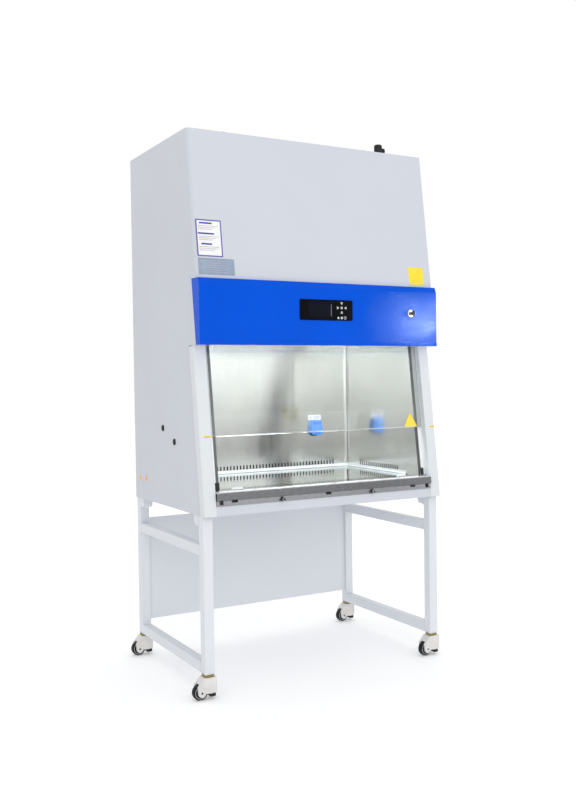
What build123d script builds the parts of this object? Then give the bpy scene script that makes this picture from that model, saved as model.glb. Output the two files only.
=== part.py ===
from build123d import *
import math
import os

# Class II biosafety cabinet on its wheeled stand.
# Millimetres. +Z is up, the operator stands on the -Y side, +X is the operator's right.
# The model is drawn with x = 0 on the cabinet's centre line, y = 0 on its back face and
# z = 0 on the floor, and is moved to the centre of its footprint at the end.

# ---------------------------------------------------------------- driving dimensions
cabinet_width = 1100.0
cabinet_height = 1460.0
base_depth = 735.0            # depth at the underside
front_slope = 7.5             # lean of the operator's side, degrees
sheet = 1.5                   # painted steel and stainless sheet
seam = 0.3                    # gap where two sheets meet

# stand
leg_height = 595.0
tube = 40.0
tube_wall = 2.0
tube_corner = 3.0
leg_inset_side = 3.0
leg_inset_front = 25.0
leg_inset_rear = 2.0
top_rail_drop = 110.0         # cabinet underside down to the top of the upper rail
back_sheet_top_drop = 92.0
back_sheet_height = 444.0
back_sheet_fold = 18.0
bracket_reach = 42.0
bracket_height = 38.0
bracket_chamfer = 10.0
bolt_radius = 5.0
bolt_head_flats = 16.0
bolt_head_height = 7.0
bolt_reach = 12.0             # thread above the cabinet's base plate

# levelling casters
caster_height = 95.0
race_radius = 24.0
race_height = 10.0
stem_radius = 6.0
stem_length = 40.0
wheel_radius = 30.0
wheel_width = 24.0
tread_bevel = 4.0
wheel_trail = 34.0
axle_radius = 4.0
fork_width = 46.0
pad_length = 25.0
pad_width = 44.0
pad_thickness = 9.0
pad_lift = 12.0               # pad clear of the floor while the cabinet stands on its wheels
pad_screw_radius = 5.0

# casing
cover_proud = 75.0            # front cover stands this far in front of the posts
cover_corner = 20.0
cover_step = 27.0             # the part of the cover behind the control fascia
fascia_top = 890.0            # heights below are above the cabinet's underside
fascia_bottom = 640.0
fascia_setback = 21.0         # its front lies this far behind the front of the base
fascia_top_setback = 10.0
fascia_bevel = 24.0
fascia_lip = 3.0
fascia_lip_height = 16.0
post_width = 50.0
post_return = 38.0
post_inner_return = 23.0
post_corner = 7.0
panel_fold = 14.0
channel_end = 120.0           # pressed channels of the back stop short of its ends
channel_width = 40.0
channel_depth = 8.0
front_strip_height = 36.0

# work chamber
chamber_side = 80.0           # casing to chamber wall
chamber_back = 118.0
chamber_floor = 87.0
chamber_height = 658.0
cove_radius = 18.0
sump_wall_height = 60.0
sump_ledge = 12.0
slot_pitch = 16.34
slot_width = 6.5
slot_height = 19.0
slot_rise = 23.0              # slot centres above the work surface
rear_slot_margin = 139.3      # both ends of the rear row together
side_slots = 19
side_slot_setback = 350.0     # their middle, from the front of the base
tray_setback = 135.0
tray_upstand = 14.0
tray_cove = 11.0
grille_setback = 49.0
grille_slots = 56
grille_slot_width = 6.0
grille_slot_length = 46.0
tab_length = 48.0
tab_height = 10.0
tab_thickness = 4.0
tab_inset = 84.0              # from the chamber wall
lift_clearance = 1.0          # round the lift-out tray and grille

# armrest
armrest_nose = 11.0           # nose stands in front of the posts
armrest_nose_depth = 32.0
armrest_slot_width = 25.0
armrest_slot_height = 8.0
armrest_slot_shares = (-0.771, -0.018, 0.736)    # of half the cabinet's width
thumb_screw_shares = (-0.40, 0.36)
thumb_screw_radius = 9.0
thumb_screw_reach = 14.0
armrest_end_hole = 16.0

# sash and its drive, measured up and across the sloping front
glass_thickness = 5.0
glass_set_back = 26.5
glass_side_cover = 30.0       # glass runs this far past the chamber's sides
glass_headroom = 600.0        # glass is this much shorter than the casing
sash_gap_rest = 206.0         # safe working gap
sash_slot_clearance = 0.5
guide_wall = 2.5
guide_rear_leg = 4.0
stop_height = 22.0
stop_depth = 10.0             # behind the guide
carrier_height = 30.0
carrier_wall = 3.0
carrier_cap = 8.0             # carrier above the top edge of the glass
pulley_radius = 20.0
pulley_width = 16.0
pulley_set_forward = 12.0
belt_thickness = 2.0
belt_width = 12.0
belt_outset = 20.0            # belts run this far outside the chamber
shaft_radius = 15.0
stub_radius = 8.0
idler_pin_radius = 5.0
running_gap = 0.05
drive_drop = 55.0             # drive shaft below the roof, along the slope
idler_drop = 535.0
drive_plate = 3.0

# controls on the fascia
bezel_width = 246.0
bezel_height = 82.0
bezel_proud = 3.0
bezel_corner = 6.0
bezel_depth = 16.0
display_drop = 109.5          # its centre below the fascia's top
screen_width = 115.0
screen_height = 60.0
screen_offset = -30.0
screen_sink = 1.0
key_radius = 6.0
key_proud = 0.8
key_thickness = 3.0
key_gap = 0.3
key_cross_offset = 70.0
key_cross_rise = 10.0
key_cross_pitch = 19.0
key_row_drop = 40.0
key_row_pitch = 16.0
lock_inset = 140.5            # from the cabinet's right side
lock_drop = 114.0
lock_radius = 15.0
lock_proud = 11.0
barrel_radius = 9.0
barrel_recess = 2.0
key_bow_radius = 12.0
key_blade_width = 7.0
key_blade_thickness = 2.2
key_blade_depth = 16.0

# services
plug_radius = 13.0
plug_flange = 3.0
plug_places = ((331.7, 315.8), (452.4, 265.5))
gland_inset = 193.0           # from the cabinet's right side
gland_setback = 165.0         # from the front of the base
gland_radius = 17.0
gland_height = 44.0
gland_arm_radius = 12.0
gland_arm_length = 31.0
gland_arm_height = 20.0
socket_inset = 175.0          # from the chamber's right wall
socket_height = 280.0
socket_size = 62.0
socket_depth = 16.0
socket_face_radius = 20.0
socket_face_sink = 3.0
flap_thickness = 5.0
flap_drop = 54.0
flap_dome_radius = 19.0
hinge_pin_length = 44.0
flap_standoff = 6.0           # hinge pin in front of the socket's case
hinge_pin_radius = 2.0

# filters, blower and lamps inside the casing
filter_height = 70.0
filter_frame = 15.0
filter_setback = 150.0        # from the front of the base
exhaust_margin_width = 640.0  # casing less exhaust outlet
exhaust_margin_depth = 355.0
exhaust_slots = 24
exhaust_slot_width = 9.0
diffuser_slots = 44
diffuser_slot_width = 6.0
blower_margin_width = 580.0   # casing less fan box
blower_margin_depth = 335.0
blower_height = 250.0
blower_wall = 2.0
impeller_radius = 140.0
impeller_height = 100.0
impeller_blades = 9
inlet_radius = 92.0
motor_radius = 48.0
spindle_radius = 8.0
lamp_tray_width = 84.0
lamp_tray_height = 34.0
lamp_tube_radius = 8.0
lamp_holder = 18.0
lamp_drop = 20.0              # tube centres below the ceiling
lamp_spacing = 40.0
lamp_tray_end_gap = 4.0

# ---------------------------------------------------------------- derived places
underside = caster_height + leg_height
half_width = cabinet_width / 2
slope_sine = math.sin(math.radians(front_slope))
slope_cosine = math.cos(math.radians(front_slope))
slope_tangent = math.tan(math.radians(front_slope))
top = underside + cabinet_height
work_level = underside + chamber_floor
ceiling = work_level + chamber_height
chamber_width = cabinet_width - 2 * chamber_side
half_chamber = chamber_width / 2
rear_slots = round((chamber_width - rear_slot_margin) / slot_pitch)
side_slot_centre = base_depth - side_slot_setback
tray_front = base_depth - tray_setback
grille_front = base_depth - grille_setback
tab_offset = half_chamber - tab_inset
fascia_face = base_depth - fascia_setback
display_centre_height = fascia_top - display_drop
lock_offset = half_width - lock_inset
lock_height = fascia_top - lock_drop
filter_front = base_depth - filter_setback
exhaust_width = cabinet_width - exhaust_margin_width
exhaust_depth = base_depth - exhaust_margin_depth
blower_width = cabinet_width - blower_margin_width
blower_depth = base_depth - blower_margin_depth
glass_front = glass_set_back
glass_rear = glass_set_back + glass_thickness
guide_rear = glass_rear + sash_slot_clearance + guide_rear_leg
sash_bottom_rest = (chamber_floor + sash_gap_rest + glass_rear * slope_sine) / slope_cosine
sash_top_rest = sash_bottom_rest + cabinet_height - glass_headroom
top_pulley_height = cabinet_height - drive_drop
idler_height = cabinet_height - idler_drop
belt_offset = half_chamber + belt_outset
guide_foot = (chamber_floor + seam + (guide_rear + stop_depth) * slope_sine) / slope_cosine
leg_x = half_width - leg_inset_side - tube / 2
leg_y_front = -base_depth + leg_inset_front + tube / 2
leg_y_rear = -leg_inset_rear - tube / 2
axle_height = wheel_radius
post_inner = half_width - post_width

# sloping working plane: x across, y up the slope, z out towards the operator
slope = Plane(origin=(0, -base_depth, underside), x_dir=(1, 0, 0), z_dir=(0, -slope_cosine, slope_sine))


def box(x0, x1, y0, y1, z0, z1):
    """A box between two corners."""
    return Pos((x0 + x1) / 2, (y0 + y1) / 2, (z0 + z1) / 2) * Box(x1 - x0, y1 - y0, z1 - z0)


def slope_box(x0, x1, up0, up1, back0, back1):
    """A box given across, up the slope and back from the face of the posts."""
    return slope * box(x0, x1, up0, up1, -back1, -back0)


def side_profile(points, x0, x1):
    """A closed outline of (y, z) points carried from x0 to x1."""
    face = make_face(Plane.YZ.offset(x0) * Polyline(*points, close=True))
    return extrude(face, x1 - x0, dir=(1, 0, 0))


def post_face(height, forward=0.0):
    """y of the face of the posts at a height above the underside."""
    return -base_depth + height * slope_tangent - forward


def both_sides(shape):
    """A piece and its mirror image on the other side."""
    return [shape, mirror(shape, about=Plane.YZ)]


def group(shapes):
    """Separate solids kept together under one name."""
    return Compound(children=[solid for shape in shapes for solid in shape.solids()])


# ---------------------------------------------------------------- stand
def leg(x, y):
    """Square tube leg with a drilled end plate for the caster stem."""
    outer = box(x - tube / 2, x + tube / 2, y - tube / 2, y + tube / 2, caster_height, underside)
    outer = fillet(outer.edges().filter_by(Axis.Z), tube_corner)
    inside = tube / 2 - tube_wall
    hollow = box(x - inside, x + inside, y - inside, y + inside, caster_height + 2 * tube_wall, underside)
    hole = Pos(x, y, caster_height) * Cylinder(stem_radius + running_gap, 20)
    return outer - hollow - hole


def rail(x, z_top):
    """Square tube rail between the front and the rear leg."""
    y0 = leg_y_front + tube / 2
    y1 = leg_y_rear - tube / 2
    inside = tube / 2 - tube_wall
    outer = box(x - tube / 2, x + tube / 2, y0, y1, z_top - tube, z_top)
    outer = fillet(outer.edges().filter_by(Axis.Y), tube_corner)
    return outer - box(x - inside, x + inside, y0, y1, z_top - tube + tube_wall, z_top - tube_wall)


def stand_frame(side):
    x = side * leg_x
    upper = rail(x, underside - top_rail_drop)
    lower = rail(x, caster_height + tube)
    return group([leg(x, leg_y_front), leg(x, leg_y_rear), upper, lower])


def bracket_places():
    """Centre of each cabinet bolt: x, y, and the way from the leg towards the bracket."""
    for x in (-leg_x, leg_x):
        yield x, leg_y_front + tube / 2 + bracket_reach / 2, 1
        yield x, leg_y_rear - tube / 2 - bracket_reach / 2, -1


def stand_bracket(x, y, way):
    """Block welded to the leg's head, which the cabinet is bolted to."""
    block = box(x - tube / 2, x + tube / 2, y - bracket_reach / 2, y + bracket_reach / 2,
                underside - bracket_height, underside)
    low_edge = block.edges().filter_by(Axis.X).sort_by(Axis.Z)[0:2].sort_by(Axis.Y)
    free_edge = low_edge[-1] if way > 0 else low_edge[0]
    block = chamfer(free_edge, bracket_chamfer)
    return block - Pos(x, y, underside) * Cylinder(bolt_radius + seam, 3 * bracket_height)


def bracket_bolt(x, y):
    head_radius = bolt_head_flats / math.sqrt(3)
    head_top = underside - bracket_height
    head = Pos(x, y, head_top - bolt_head_height) * extrude(RegularPolygon(head_radius, 6), bolt_head_height)
    shank_length = bracket_height + bolt_reach
    return head + Pos(x, y, head_top + shank_length / 2) * Cylinder(bolt_radius, shank_length)


def stand_back_sheet():
    """Folded sheet that ties the two rear legs together."""
    z1 = underside - back_sheet_top_drop
    z0 = z1 - back_sheet_height
    x1 = leg_x - tube / 2
    front = leg_y_rear - back_sheet_fold / 2
    outer = box(-x1, x1, front, front + back_sheet_fold, z0, z1)
    hollow = box(-x1 + sheet, x1 - sheet, front + sheet, front + back_sheet_fold, z0 + sheet, z1 - sheet)
    return outer - hollow


# ---------------------------------------------------------------- casters
def caster_places():
    return [("front_left", -leg_x, leg_y_front), ("front_right", leg_x, leg_y_front),
            ("rear_left", -leg_x, leg_y_rear), ("rear_right", leg_x, leg_y_rear)]


def caster_race(x, y):
    """Plated swivel race with the stem that goes up into the leg."""
    race = Pos(x, y, caster_height - race_height / 2) * Cylinder(race_radius, race_height)
    race = chamfer(race.edges().sort_by(Axis.Z)[0], 2.0)
    spigot_length = 12.0
    spigot = Pos(x, y, caster_height - race_height - spigot_length / 2) * Cylinder(stem_radius, spigot_length)
    return race + spigot + Pos(x, y, caster_height + stem_length / 2) * Cylinder(stem_radius, stem_length)


def caster_fork(x, y):
    """Moulded housing: a sloping head over two cheeks with a round axle lobe."""
    head_top = caster_height - race_height - seam
    axle_x = -wheel_trail
    lobe = 14.0
    outline = [(-22, head_top), (24, head_top), (28, 60), (27, 27), (4, 24), (axle_x + lobe, axle_height - 4),
               (axle_x - lobe, axle_height - 4), (axle_x - lobe - 2, 54)]
    body = extrude(make_face(Plane.XZ * Polyline(*outline, close=True)), fork_width / 2, both=True)
    body += Pos(axle_x, 0, axle_height - 2) * Rot(90, 0, 0) * Cylinder(lobe, fork_width)
    body = fillet(body.edges().filter_by(Axis.Z, tolerance=25).sort_by(Axis.X)[-2:], 6.0)
    wheel_room = Rot(90, 0, 0) * Cylinder(wheel_radius + 3, wheel_width + 3)
    body -= Pos(axle_x, 0, axle_height) * wheel_room
    body -= Pos(axle_x, 0, axle_height) * Rot(90, 0, 0) * Cylinder(axle_radius + running_gap, fork_width * 2)
    pad_room = pad_width + 1
    body -= box(-2, 40, -pad_room / 2, pad_room / 2, 0, pad_lift + pad_thickness + 1)
    body -= Pos(13, 0, 40) * Cylinder(pad_screw_radius + seam, 50)
    body -= Pos(0, 0, head_top) * Cylinder(stem_radius + running_gap, 26)
    return Pos(x, y, 0) * body


def caster_wheel(x, y):
    """Wheel with a bevelled tread, turning with its axle."""
    half = wheel_width / 2
    profile = [(0, -half), (wheel_radius - tread_bevel, -half), (wheel_radius, -half + tread_bevel),
               (wheel_radius, half - tread_bevel), (wheel_radius - tread_bevel, half), (0, half)]
    wheel = revolve(make_face(Plane.XZ * Polyline(*profile, close=True)), Axis.Z, 360)
    wheel += Cylinder(axle_radius, fork_width - 4)
    return Pos(x - wheel_trail, y, axle_height) * Rot(90, 0, 0) * wheel


def caster_pad(x, y):
    """Rubber levelling pad on its screw, raised clear of the floor."""
    pad = box(0, pad_length, -pad_width / 2, pad_width / 2, pad_lift, pad_lift + pad_thickness)
    pad = fillet(pad.edges().filter_by(Axis.Z).sort_by(Axis.X)[-2:], 11.0)
    screw_length = 34.0
    screw = Pos(13, 0, pad_lift + pad_thickness + screw_length / 2) * Cylinder(pad_screw_radius, screw_length)
    return Pos(x, y, 0) * (pad + screw)


# ---------------------------------------------------------------- casing
def base_pan():
    """Base plate with its folded front strip and the sump collar the liner stands on."""
    plate_rear = -sheet - seam
    plate_front = post_face(0, -post_return)
    plate_x = half_width - 2 * sheet
    pan = box(-plate_x, plate_x, plate_front, plate_rear, underside, underside + sheet)
    strip_x = post_inner - seam
    pan += box(-strip_x, strip_x, post_face(0), plate_front, underside, underside + sheet)
    pan += slope_box(-strip_x, strip_x, 0, front_strip_height, 0, sheet)
    collar_front = post_face(chamber_floor, -guide_rear - 2)
    collar_x = half_chamber + sheet
    collar_back = -chamber_back + sheet
    collar = box(-collar_x, collar_x, collar_front, collar_back, underside, underside + sump_wall_height)
    collar -= box(-half_chamber, half_chamber, collar_front + sheet, -chamber_back,
                  underside, underside + sump_wall_height - sheet)
    collar -= box(-half_chamber + sump_ledge, half_chamber - sump_ledge, collar_front + sump_ledge,
                  -chamber_back - sump_ledge, underside, underside + sump_wall_height)
    pan += collar
    pan -= box(-half_width, half_width, -base_depth * 2, base_depth, underside - leg_height, underside)
    for x, y, _ in bracket_places():
        pan -= Pos(x, y, underside) * Cylinder(bolt_radius + 1, 10)
    return pan


def side_panel(side):
    """Outer side with folded edges, cut back behind the front post."""
    rear = -sheet - seam
    low = underside + sheet + seam
    high = top - sheet - seam
    shoulder = fascia_bottom
    front_high = [(post_face(cabinet_height, -seam), high),
                  (post_face(shoulder, -seam), underside + shoulder)]
    back_of_post = post_return + 3 * seam
    front_low = [(post_face(shoulder, -back_of_post), underside + shoulder),
                 (post_face(sheet, -back_of_post), low)]
    outline = [(rear, low), (rear, high)] + front_high + front_low
    outer = side_profile(outline, half_width - panel_fold, half_width)
    face = make_face(Plane.YZ.offset(half_width - panel_fold) * Polyline(*outline, close=True))
    inner = extrude(offset(face, -sheet), panel_fold - sheet, dir=(1, 0, 0))
    panel = outer - inner
    if side < 0:
        panel = mirror(panel, about=Plane.YZ)
        for back, height in plug_places:
            hole = Pos(-half_width, -back, underside + height) * Rot(0, 90, 0)
            panel -= hole * Cylinder(plug_radius - 2, 4 * sheet)
    return panel


def back_panel():
    """Rear cover with a folded rim and two pressed stiffening channels."""
    panel = box(-half_width, half_width, -sheet, 0, underside, top)
    w = channel_width / 2
    low = underside + channel_end
    high = top - channel_end
    for x in (-half_width / 3, half_width / 3):
        panel += box(x - w, x + w, -channel_depth, -sheet, low, high)
        panel -= box(x - w + sheet, x + w - sheet, -channel_depth + sheet, 0, low + sheet, high - sheet)
    return panel


def exhaust_centre():
    return -chamber_back - 20 - exhaust_depth / 2


def top_panel():
    """Roof with the slotted exhaust outlet, raised a little on its own folded curb."""
    front = post_face(cabinet_height, -seam)
    roof = box(-half_width, half_width, front, -sheet - seam, top - sheet, top)
    y = exhaust_centre()
    x1 = exhaust_width / 2
    y1 = exhaust_depth / 2
    curb = 12.0
    roof -= box(-x1, x1, y - y1, y + y1, top - sheet, top)
    cap = box(-x1 - sheet, x1 + sheet, y - y1 - sheet, y + y1 + sheet, top - sheet, top + curb)
    cap -= box(-x1, x1, y - y1, y + y1, top - sheet, top + curb - sheet)
    pitch = (exhaust_width - 40) / exhaust_slots
    slots = []
    for row in (-1, 1):
        for number in range(exhaust_slots):
            x = (number - (exhaust_slots - 1) / 2) * pitch
            y_slot = y + row * exhaust_depth / 4
            slots.append(box(x - exhaust_slot_width / 2, x + exhaust_slot_width / 2, y_slot - y1 / 2 + 15,
                             y_slot + y1 / 2 - 15, top, top + 2 * curb))
    return roof + (cap - slots)


def front_cover():
    """Large sheet over the blower bay, with soft corners and a step for the fascia."""
    t = sheet
    proud = cover_proud
    step = cover_step
    outline = [(post_face(cabinet_height), top), (post_face(cabinet_height, proud), top),
               (post_face(fascia_top, proud), underside + fascia_top),
               (post_face(fascia_top, step), underside + fascia_top),
               (post_face(fascia_bottom, step), underside + fascia_bottom),
               (post_face(fascia_bottom), underside + fascia_bottom)]
    inside = [(post_face(cabinet_height, -10), top - t), (post_face(cabinet_height, proud - t), top - t),
              (post_face(fascia_top, proud - t), underside + fascia_top + t),
              (post_face(fascia_top, step - t), underside + fascia_top + t),
              (post_face(fascia_bottom, step - t), underside + fascia_bottom + t),
              (post_face(fascia_bottom, -10), underside + fascia_bottom + t)]
    outer = side_profile(outline, -half_width, half_width)
    inner = side_profile(inside, -half_width + t, half_width - t)
    outer = fillet(front_corner_edges(outer, cabinet_height - fascia_top), cover_corner)
    inner = fillet(front_corner_edges(inner, cabinet_height - fascia_top), cover_corner - t)
    return outer - inner


def front_corner_edges(solid, rise):
    """The two long sloping edges at the front corners of the cover."""
    long_edges = solid.edges().filter_by(lambda edge: abs(edge.length - rise / slope_cosine) < 6 * sheet)
    return long_edges.sort_by(lambda edge: edge.center().Y)[0:2]


def fascia_outline(t, z_shift):
    """Outline of the control fascia, drawn in by t from its outer face."""
    top_z = underside + fascia_top - seam - t
    low_z = underside + fascia_bottom + t
    face_y = -fascia_face + t
    lip_y = face_y - fascia_lip
    lip_top = underside + fascia_bottom + fascia_lip_height - t
    rear_top = post_face(fascia_top, cover_step + seam) + z_shift
    rear_low = post_face(fascia_bottom, cover_step + seam) + z_shift
    return [(rear_top, top_z), (face_y + fascia_top_setback, top_z), (face_y, top_z - fascia_bevel),
            (face_y, lip_top), (lip_y, lip_top - fascia_lip), (lip_y, low_z + fascia_lip), (face_y, low_z),
            (rear_low, low_z)]


def control_fascia():
    """Folded control fascia with its display and key-switch cut-outs."""
    outer = side_profile(fascia_outline(0, 0), -half_width, half_width)
    inner = side_profile(fascia_outline(sheet, 20), -half_width + sheet, half_width - sheet)
    z = underside + display_centre_height
    neck_x = bezel_width / 2 - 8
    neck_z = bezel_height / 2 - 8
    display_hole = box(-neck_x, neck_x, -fascia_face - 5, -fascia_face + 5, z - neck_z, z + neck_z)
    lock_hole = Pos(lock_offset, -fascia_face, underside + lock_height) * Rot(90, 0, 0)
    return outer - inner - display_hole - lock_hole * Cylinder(lock_radius - 3, 10)


def front_post(side):
    """Bent sheet post: side return, face and inner return beside the glass."""
    height = fascia_bottom / slope_cosine
    x0 = post_inner
    x1 = half_width
    outer = slope_box(x0, x1, 0, height, 0, post_return)
    edges = outer.edges().filter_by(lambda edge: abs(edge.length - height) < 0.5).sort_by(Axis.X)[-2:]
    outer = fillet(edges.sort_by(Axis.Y)[0], post_corner)
    hollow = slope_box(x0 + sheet, x1 - sheet, 0, height, sheet, post_return + 1)
    edges = hollow.edges().filter_by(lambda edge: abs(edge.length - height) < 0.5).sort_by(Axis.X)[-2:]
    hollow = fillet(edges.sort_by(Axis.Y)[0], post_corner - sheet)
    post = outer - hollow
    post -= slope_box(x0 - 1, x0 + 2 * sheet, -50, height + 50, post_inner_return, post_return + 1)
    post -= box(0, cabinet_width, -2 * base_depth, 0, underside - leg_height, underside)
    head = underside + fascia_bottom - seam
    post -= box(0, cabinet_width, -2 * base_depth, 0, head, head + cabinet_height)
    return post if side > 0 else mirror(post, about=Plane.YZ)


def armrest_outline():
    """Section through the armrest: flat top, rounded nose, set-back lower face."""
    level = chamber_floor
    nose = armrest_nose
    low = front_strip_height + seam
    waist = level - armrest_nose_depth
    return [(-grille_front - seam, level),
            (post_face(level, nose - 4), level), (post_face(level, nose), level - 4),
            (post_face(waist, nose - 2), waist + 3), (post_face(waist, 3), waist), (post_face(low, 3), low),
            (post_face(low, 3 - sheet), low), (post_face(waist, 3 - sheet), waist + 2),
            (post_face(waist, nose - 2 - sheet), waist + 4.5), (post_face(level, nose - 2), level - 5),
            (post_face(level, nose - 6), level - sheet), (-grille_front - seam + sheet - 3, level - sheet),
            (-grille_front - seam + sheet - 3, level - 20), (-grille_front - seam, level - 20)]


def armrest():
    """Bent stainless armrest with key-hole slots and an opening at each end."""
    outline = [(y, underside + z) for y, z in armrest_outline()]
    half = post_inner - 2 * seam
    rest = side_profile(outline, -half, half)
    z = underside + chamber_floor - armrest_nose_depth - 4
    y = post_face(z - underside)
    for x in [share * half_width for share in armrest_slot_shares]:
        rest -= box(x - armrest_slot_width / 2, x + armrest_slot_width / 2, y - 15, y + 15,
                    z - armrest_slot_height / 2, z + armrest_slot_height / 2)
    for x in thumb_screw_places():
        rest -= Pos(x, y, underside + thumb_screw_height()) * Rot(90, 0, 0) * Cylinder(3.3, 40)
    liner_side = half_chamber - seam
    for x0, x1 in ((-half - 1, -liner_side), (liner_side, half + 1)):
        rest -= box(x0, x1, post_face(front_strip_height, -guide_rear), 0, z - 30, z + 60)
    for x in (-half + 20, half - 20):
        rest -= box(x - armrest_end_hole / 2, x + armrest_end_hole / 2, y - 15, y + 15,
                    z - armrest_end_hole / 2 - 2, z + armrest_end_hole / 2 - 2)
    return rest


def thumb_screw_places():
    return [share * half_width for share in thumb_screw_shares]


def thumb_screw_height():
    """Screw heads sit just under the armrest's nose."""
    return chamber_floor - armrest_nose_depth - thumb_screw_radius - 1


def thumb_screw(x):
    """Knurled thumb screw that holds the armrest down."""
    z = underside + thumb_screw_height()
    y = post_face(z - underside, 3) - 1.2
    head = Cylinder(thumb_screw_radius, thumb_screw_reach)
    head = chamfer(head.edges().sort_by(Axis.Z)[-1], 1.0)
    shank = Pos(0, 0, -thumb_screw_reach / 2 - 6) * Cylinder(3, 12)
    return Pos(x, y - thumb_screw_reach / 2, z) * Rot(90, 0, 0) * (head + shank)


# ---------------------------------------------------------------- work chamber
def row_of_slots(count, centre, make_slot):
    """Boxes at the slot pitch about a centre."""
    return [make_slot(centre + (number - (count - 1) / 2) * slot_pitch) for number in range(count)]


def work_liner():
    """One bent sheet round the back and sides of the chamber, coved at both corners."""
    front = -base_depth - 100
    back = -chamber_back
    z0 = underside + sump_wall_height
    outer = box(-half_chamber - sheet, half_chamber + sheet, front, back + sheet, z0, ceiling)
    inner = box(-half_chamber, half_chamber, front - 10, back, z0, ceiling)
    outer = fillet(outer.edges().filter_by(Axis.Z).sort_by(Axis.Y)[-2:], cove_radius + sheet)
    inner = fillet(inner.edges().filter_by(Axis.Z).sort_by(Axis.Y)[-2:], cove_radius)
    liner = outer - inner
    liner -= slope_box(-half_width, half_width, -base_depth, cabinet_height, -base_depth, guide_rear + seam)
    z = work_level + slot_rise
    low = z - slot_height / 2
    high = z + slot_height / 2
    w = slot_width / 2
    rear = row_of_slots(rear_slots, 0, lambda x: box(x - w, x + w, back - 5, back + 5, low, high))
    sides = row_of_slots(side_slots, -side_slot_centre,
                         lambda y: box(-half_width, half_width, y - w, y + w, low, high))
    return liner - rear - sides


def work_tray():
    """Lift-out work surface: coved upstand round the back and sides, skirt below."""
    x1 = half_chamber - lift_clearance
    y1 = -chamber_back - lift_clearance
    y0 = -tray_front
    corner = cove_radius + lift_clearance
    z0 = underside + sump_wall_height + seam
    high = work_level + tray_upstand
    tray = box(-x1, x1, y0, y1, z0, high)
    tray = fillet(tray.edges().filter_by(Axis.Z).sort_by(Axis.Y)[-2:], corner)
    well = box(-x1 + sheet, x1 - sheet, y0 - 60, y1 - sheet, work_level, high + 60)
    well = fillet(well.edges().filter_by(Axis.Z).sort_by(Axis.Y)[-2:], corner - sheet)
    floor_edges = well.edges().filter_by(lambda edge: abs(edge.center().Z - work_level) < 0.01)
    well = fillet(floor_edges.sort_by(Axis.Y)[1:], tray_cove)
    under = box(-x1 + sheet, x1 - sheet, y0 + sheet, y1 - sheet, z0 - 1, work_level - sheet)
    under = fillet(under.edges().filter_by(Axis.Z).sort_by(Axis.Y)[-2:], corner - sheet)
    return tray - well - under


def front_grille():
    """Lift-out intake grille between the work surface and the armrest."""
    x1 = half_chamber - lift_clearance
    y1 = -tray_front - lift_clearance
    y0 = -grille_front + lift_clearance
    z0 = underside + sump_wall_height + seam
    grille = box(-x1, x1, y0, y1, z0, work_level)
    grille -= box(-x1 - 1, x1 + 1, y0 + sheet, y1 - sheet, z0 - 1, work_level - sheet)
    pitch = (chamber_width - 30) / grille_slots
    w = grille_slot_width / 2
    middle = (y0 + y1) / 2
    half = grille_slot_length / 2
    slots = []
    for number in range(grille_slots):
        x = (number - (grille_slots - 1) / 2) * pitch
        slots.append(box(x - w, x + w, middle - half, middle + half, work_level - 5, work_level + 5))
    grille -= slots
    for x in (-tab_offset, tab_offset):
        grille += lift_tab(x, y0 + 9)
    return grille


def lift_tab(x, y):
    """Upright tab with rounded ends, pinched to lift the grille out."""
    tab = box(x - tab_length / 2, x + tab_length / 2, y - tab_thickness / 2, y + tab_thickness / 2,
              work_level - sheet / 2, work_level + tab_height)
    return fillet(tab.edges().filter_by(Axis.Y).sort_by(Axis.Z)[-2:], tab_height * 0.7)


def diffuser_plate():
    """Slotted plate under the supply filter that spreads the clean air."""
    x1 = half_chamber + sheet
    y0 = -filter_front
    plate = box(-x1, x1, y0, -chamber_back + sheet, ceiling, ceiling + sheet)
    w = diffuser_slot_width / 2
    pitch = (chamber_width - 60) / diffuser_slots
    slots = []
    for number in range(diffuser_slots):
        x = (number - (diffuser_slots - 1) / 2) * pitch
        slots.append(box(x - w, x + w, y0 + lamp_tray_width + 26, -chamber_back - 25,
                         ceiling - 5, ceiling + 5))
    return plate - slots


def light_fitting():
    """Folded lamp tray with two lamp holders at each end."""
    y0 = -filter_front + 10
    y1 = y0 + lamp_tray_width
    x1 = half_chamber - lamp_tray_end_gap
    z1 = ceiling
    holder = lamp_holder / 2
    z0 = z1 - lamp_tray_height
    tray = box(-x1, x1, y0, y1, z0, z1)
    tray -= box(-x1 - 1, x1 + 1, y0 + sheet, y1 - sheet, z0 - 1, z1 - sheet)
    for x in (-x1 + holder, x1 - holder):
        for y in lamp_places():
            tray += box(x - holder, x + holder, y - lamp_tube_radius - 2, y + lamp_tube_radius + 2,
                        z1 - lamp_drop - lamp_tube_radius - 2, z1 - sheet)
    return tray


def lamp_places():
    middle = -filter_front + 10 + lamp_tray_width / 2
    return (middle - lamp_spacing / 2, middle + lamp_spacing / 2)


def lamp_tube(y):
    """Straight tube with a metal cap and two pins at each end."""
    length = 2 * (half_chamber - lamp_tray_end_gap - lamp_holder)
    z = ceiling - lamp_drop
    tube_body = Cylinder(lamp_tube_radius, length - 2 * seam)
    return Pos(0, y, z) * Rot(0, 90, 0) * tube_body


# ---------------------------------------------------------------- filters and blower
def supply_filter():
    """Framed filter that stands on the diffuser."""
    x1 = half_chamber + sheet
    y0 = -filter_front
    y1 = -chamber_back + sheet
    z0 = ceiling + sheet
    frame = box(-x1, x1, y0, y1, z0, z0 + filter_height)
    for z in (z0, z0 + filter_height):
        frame -= box(-x1 + filter_frame, x1 - filter_frame, y0 + filter_frame, y1 - filter_frame,
                     z - 4, z + 4)
    return frame


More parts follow.
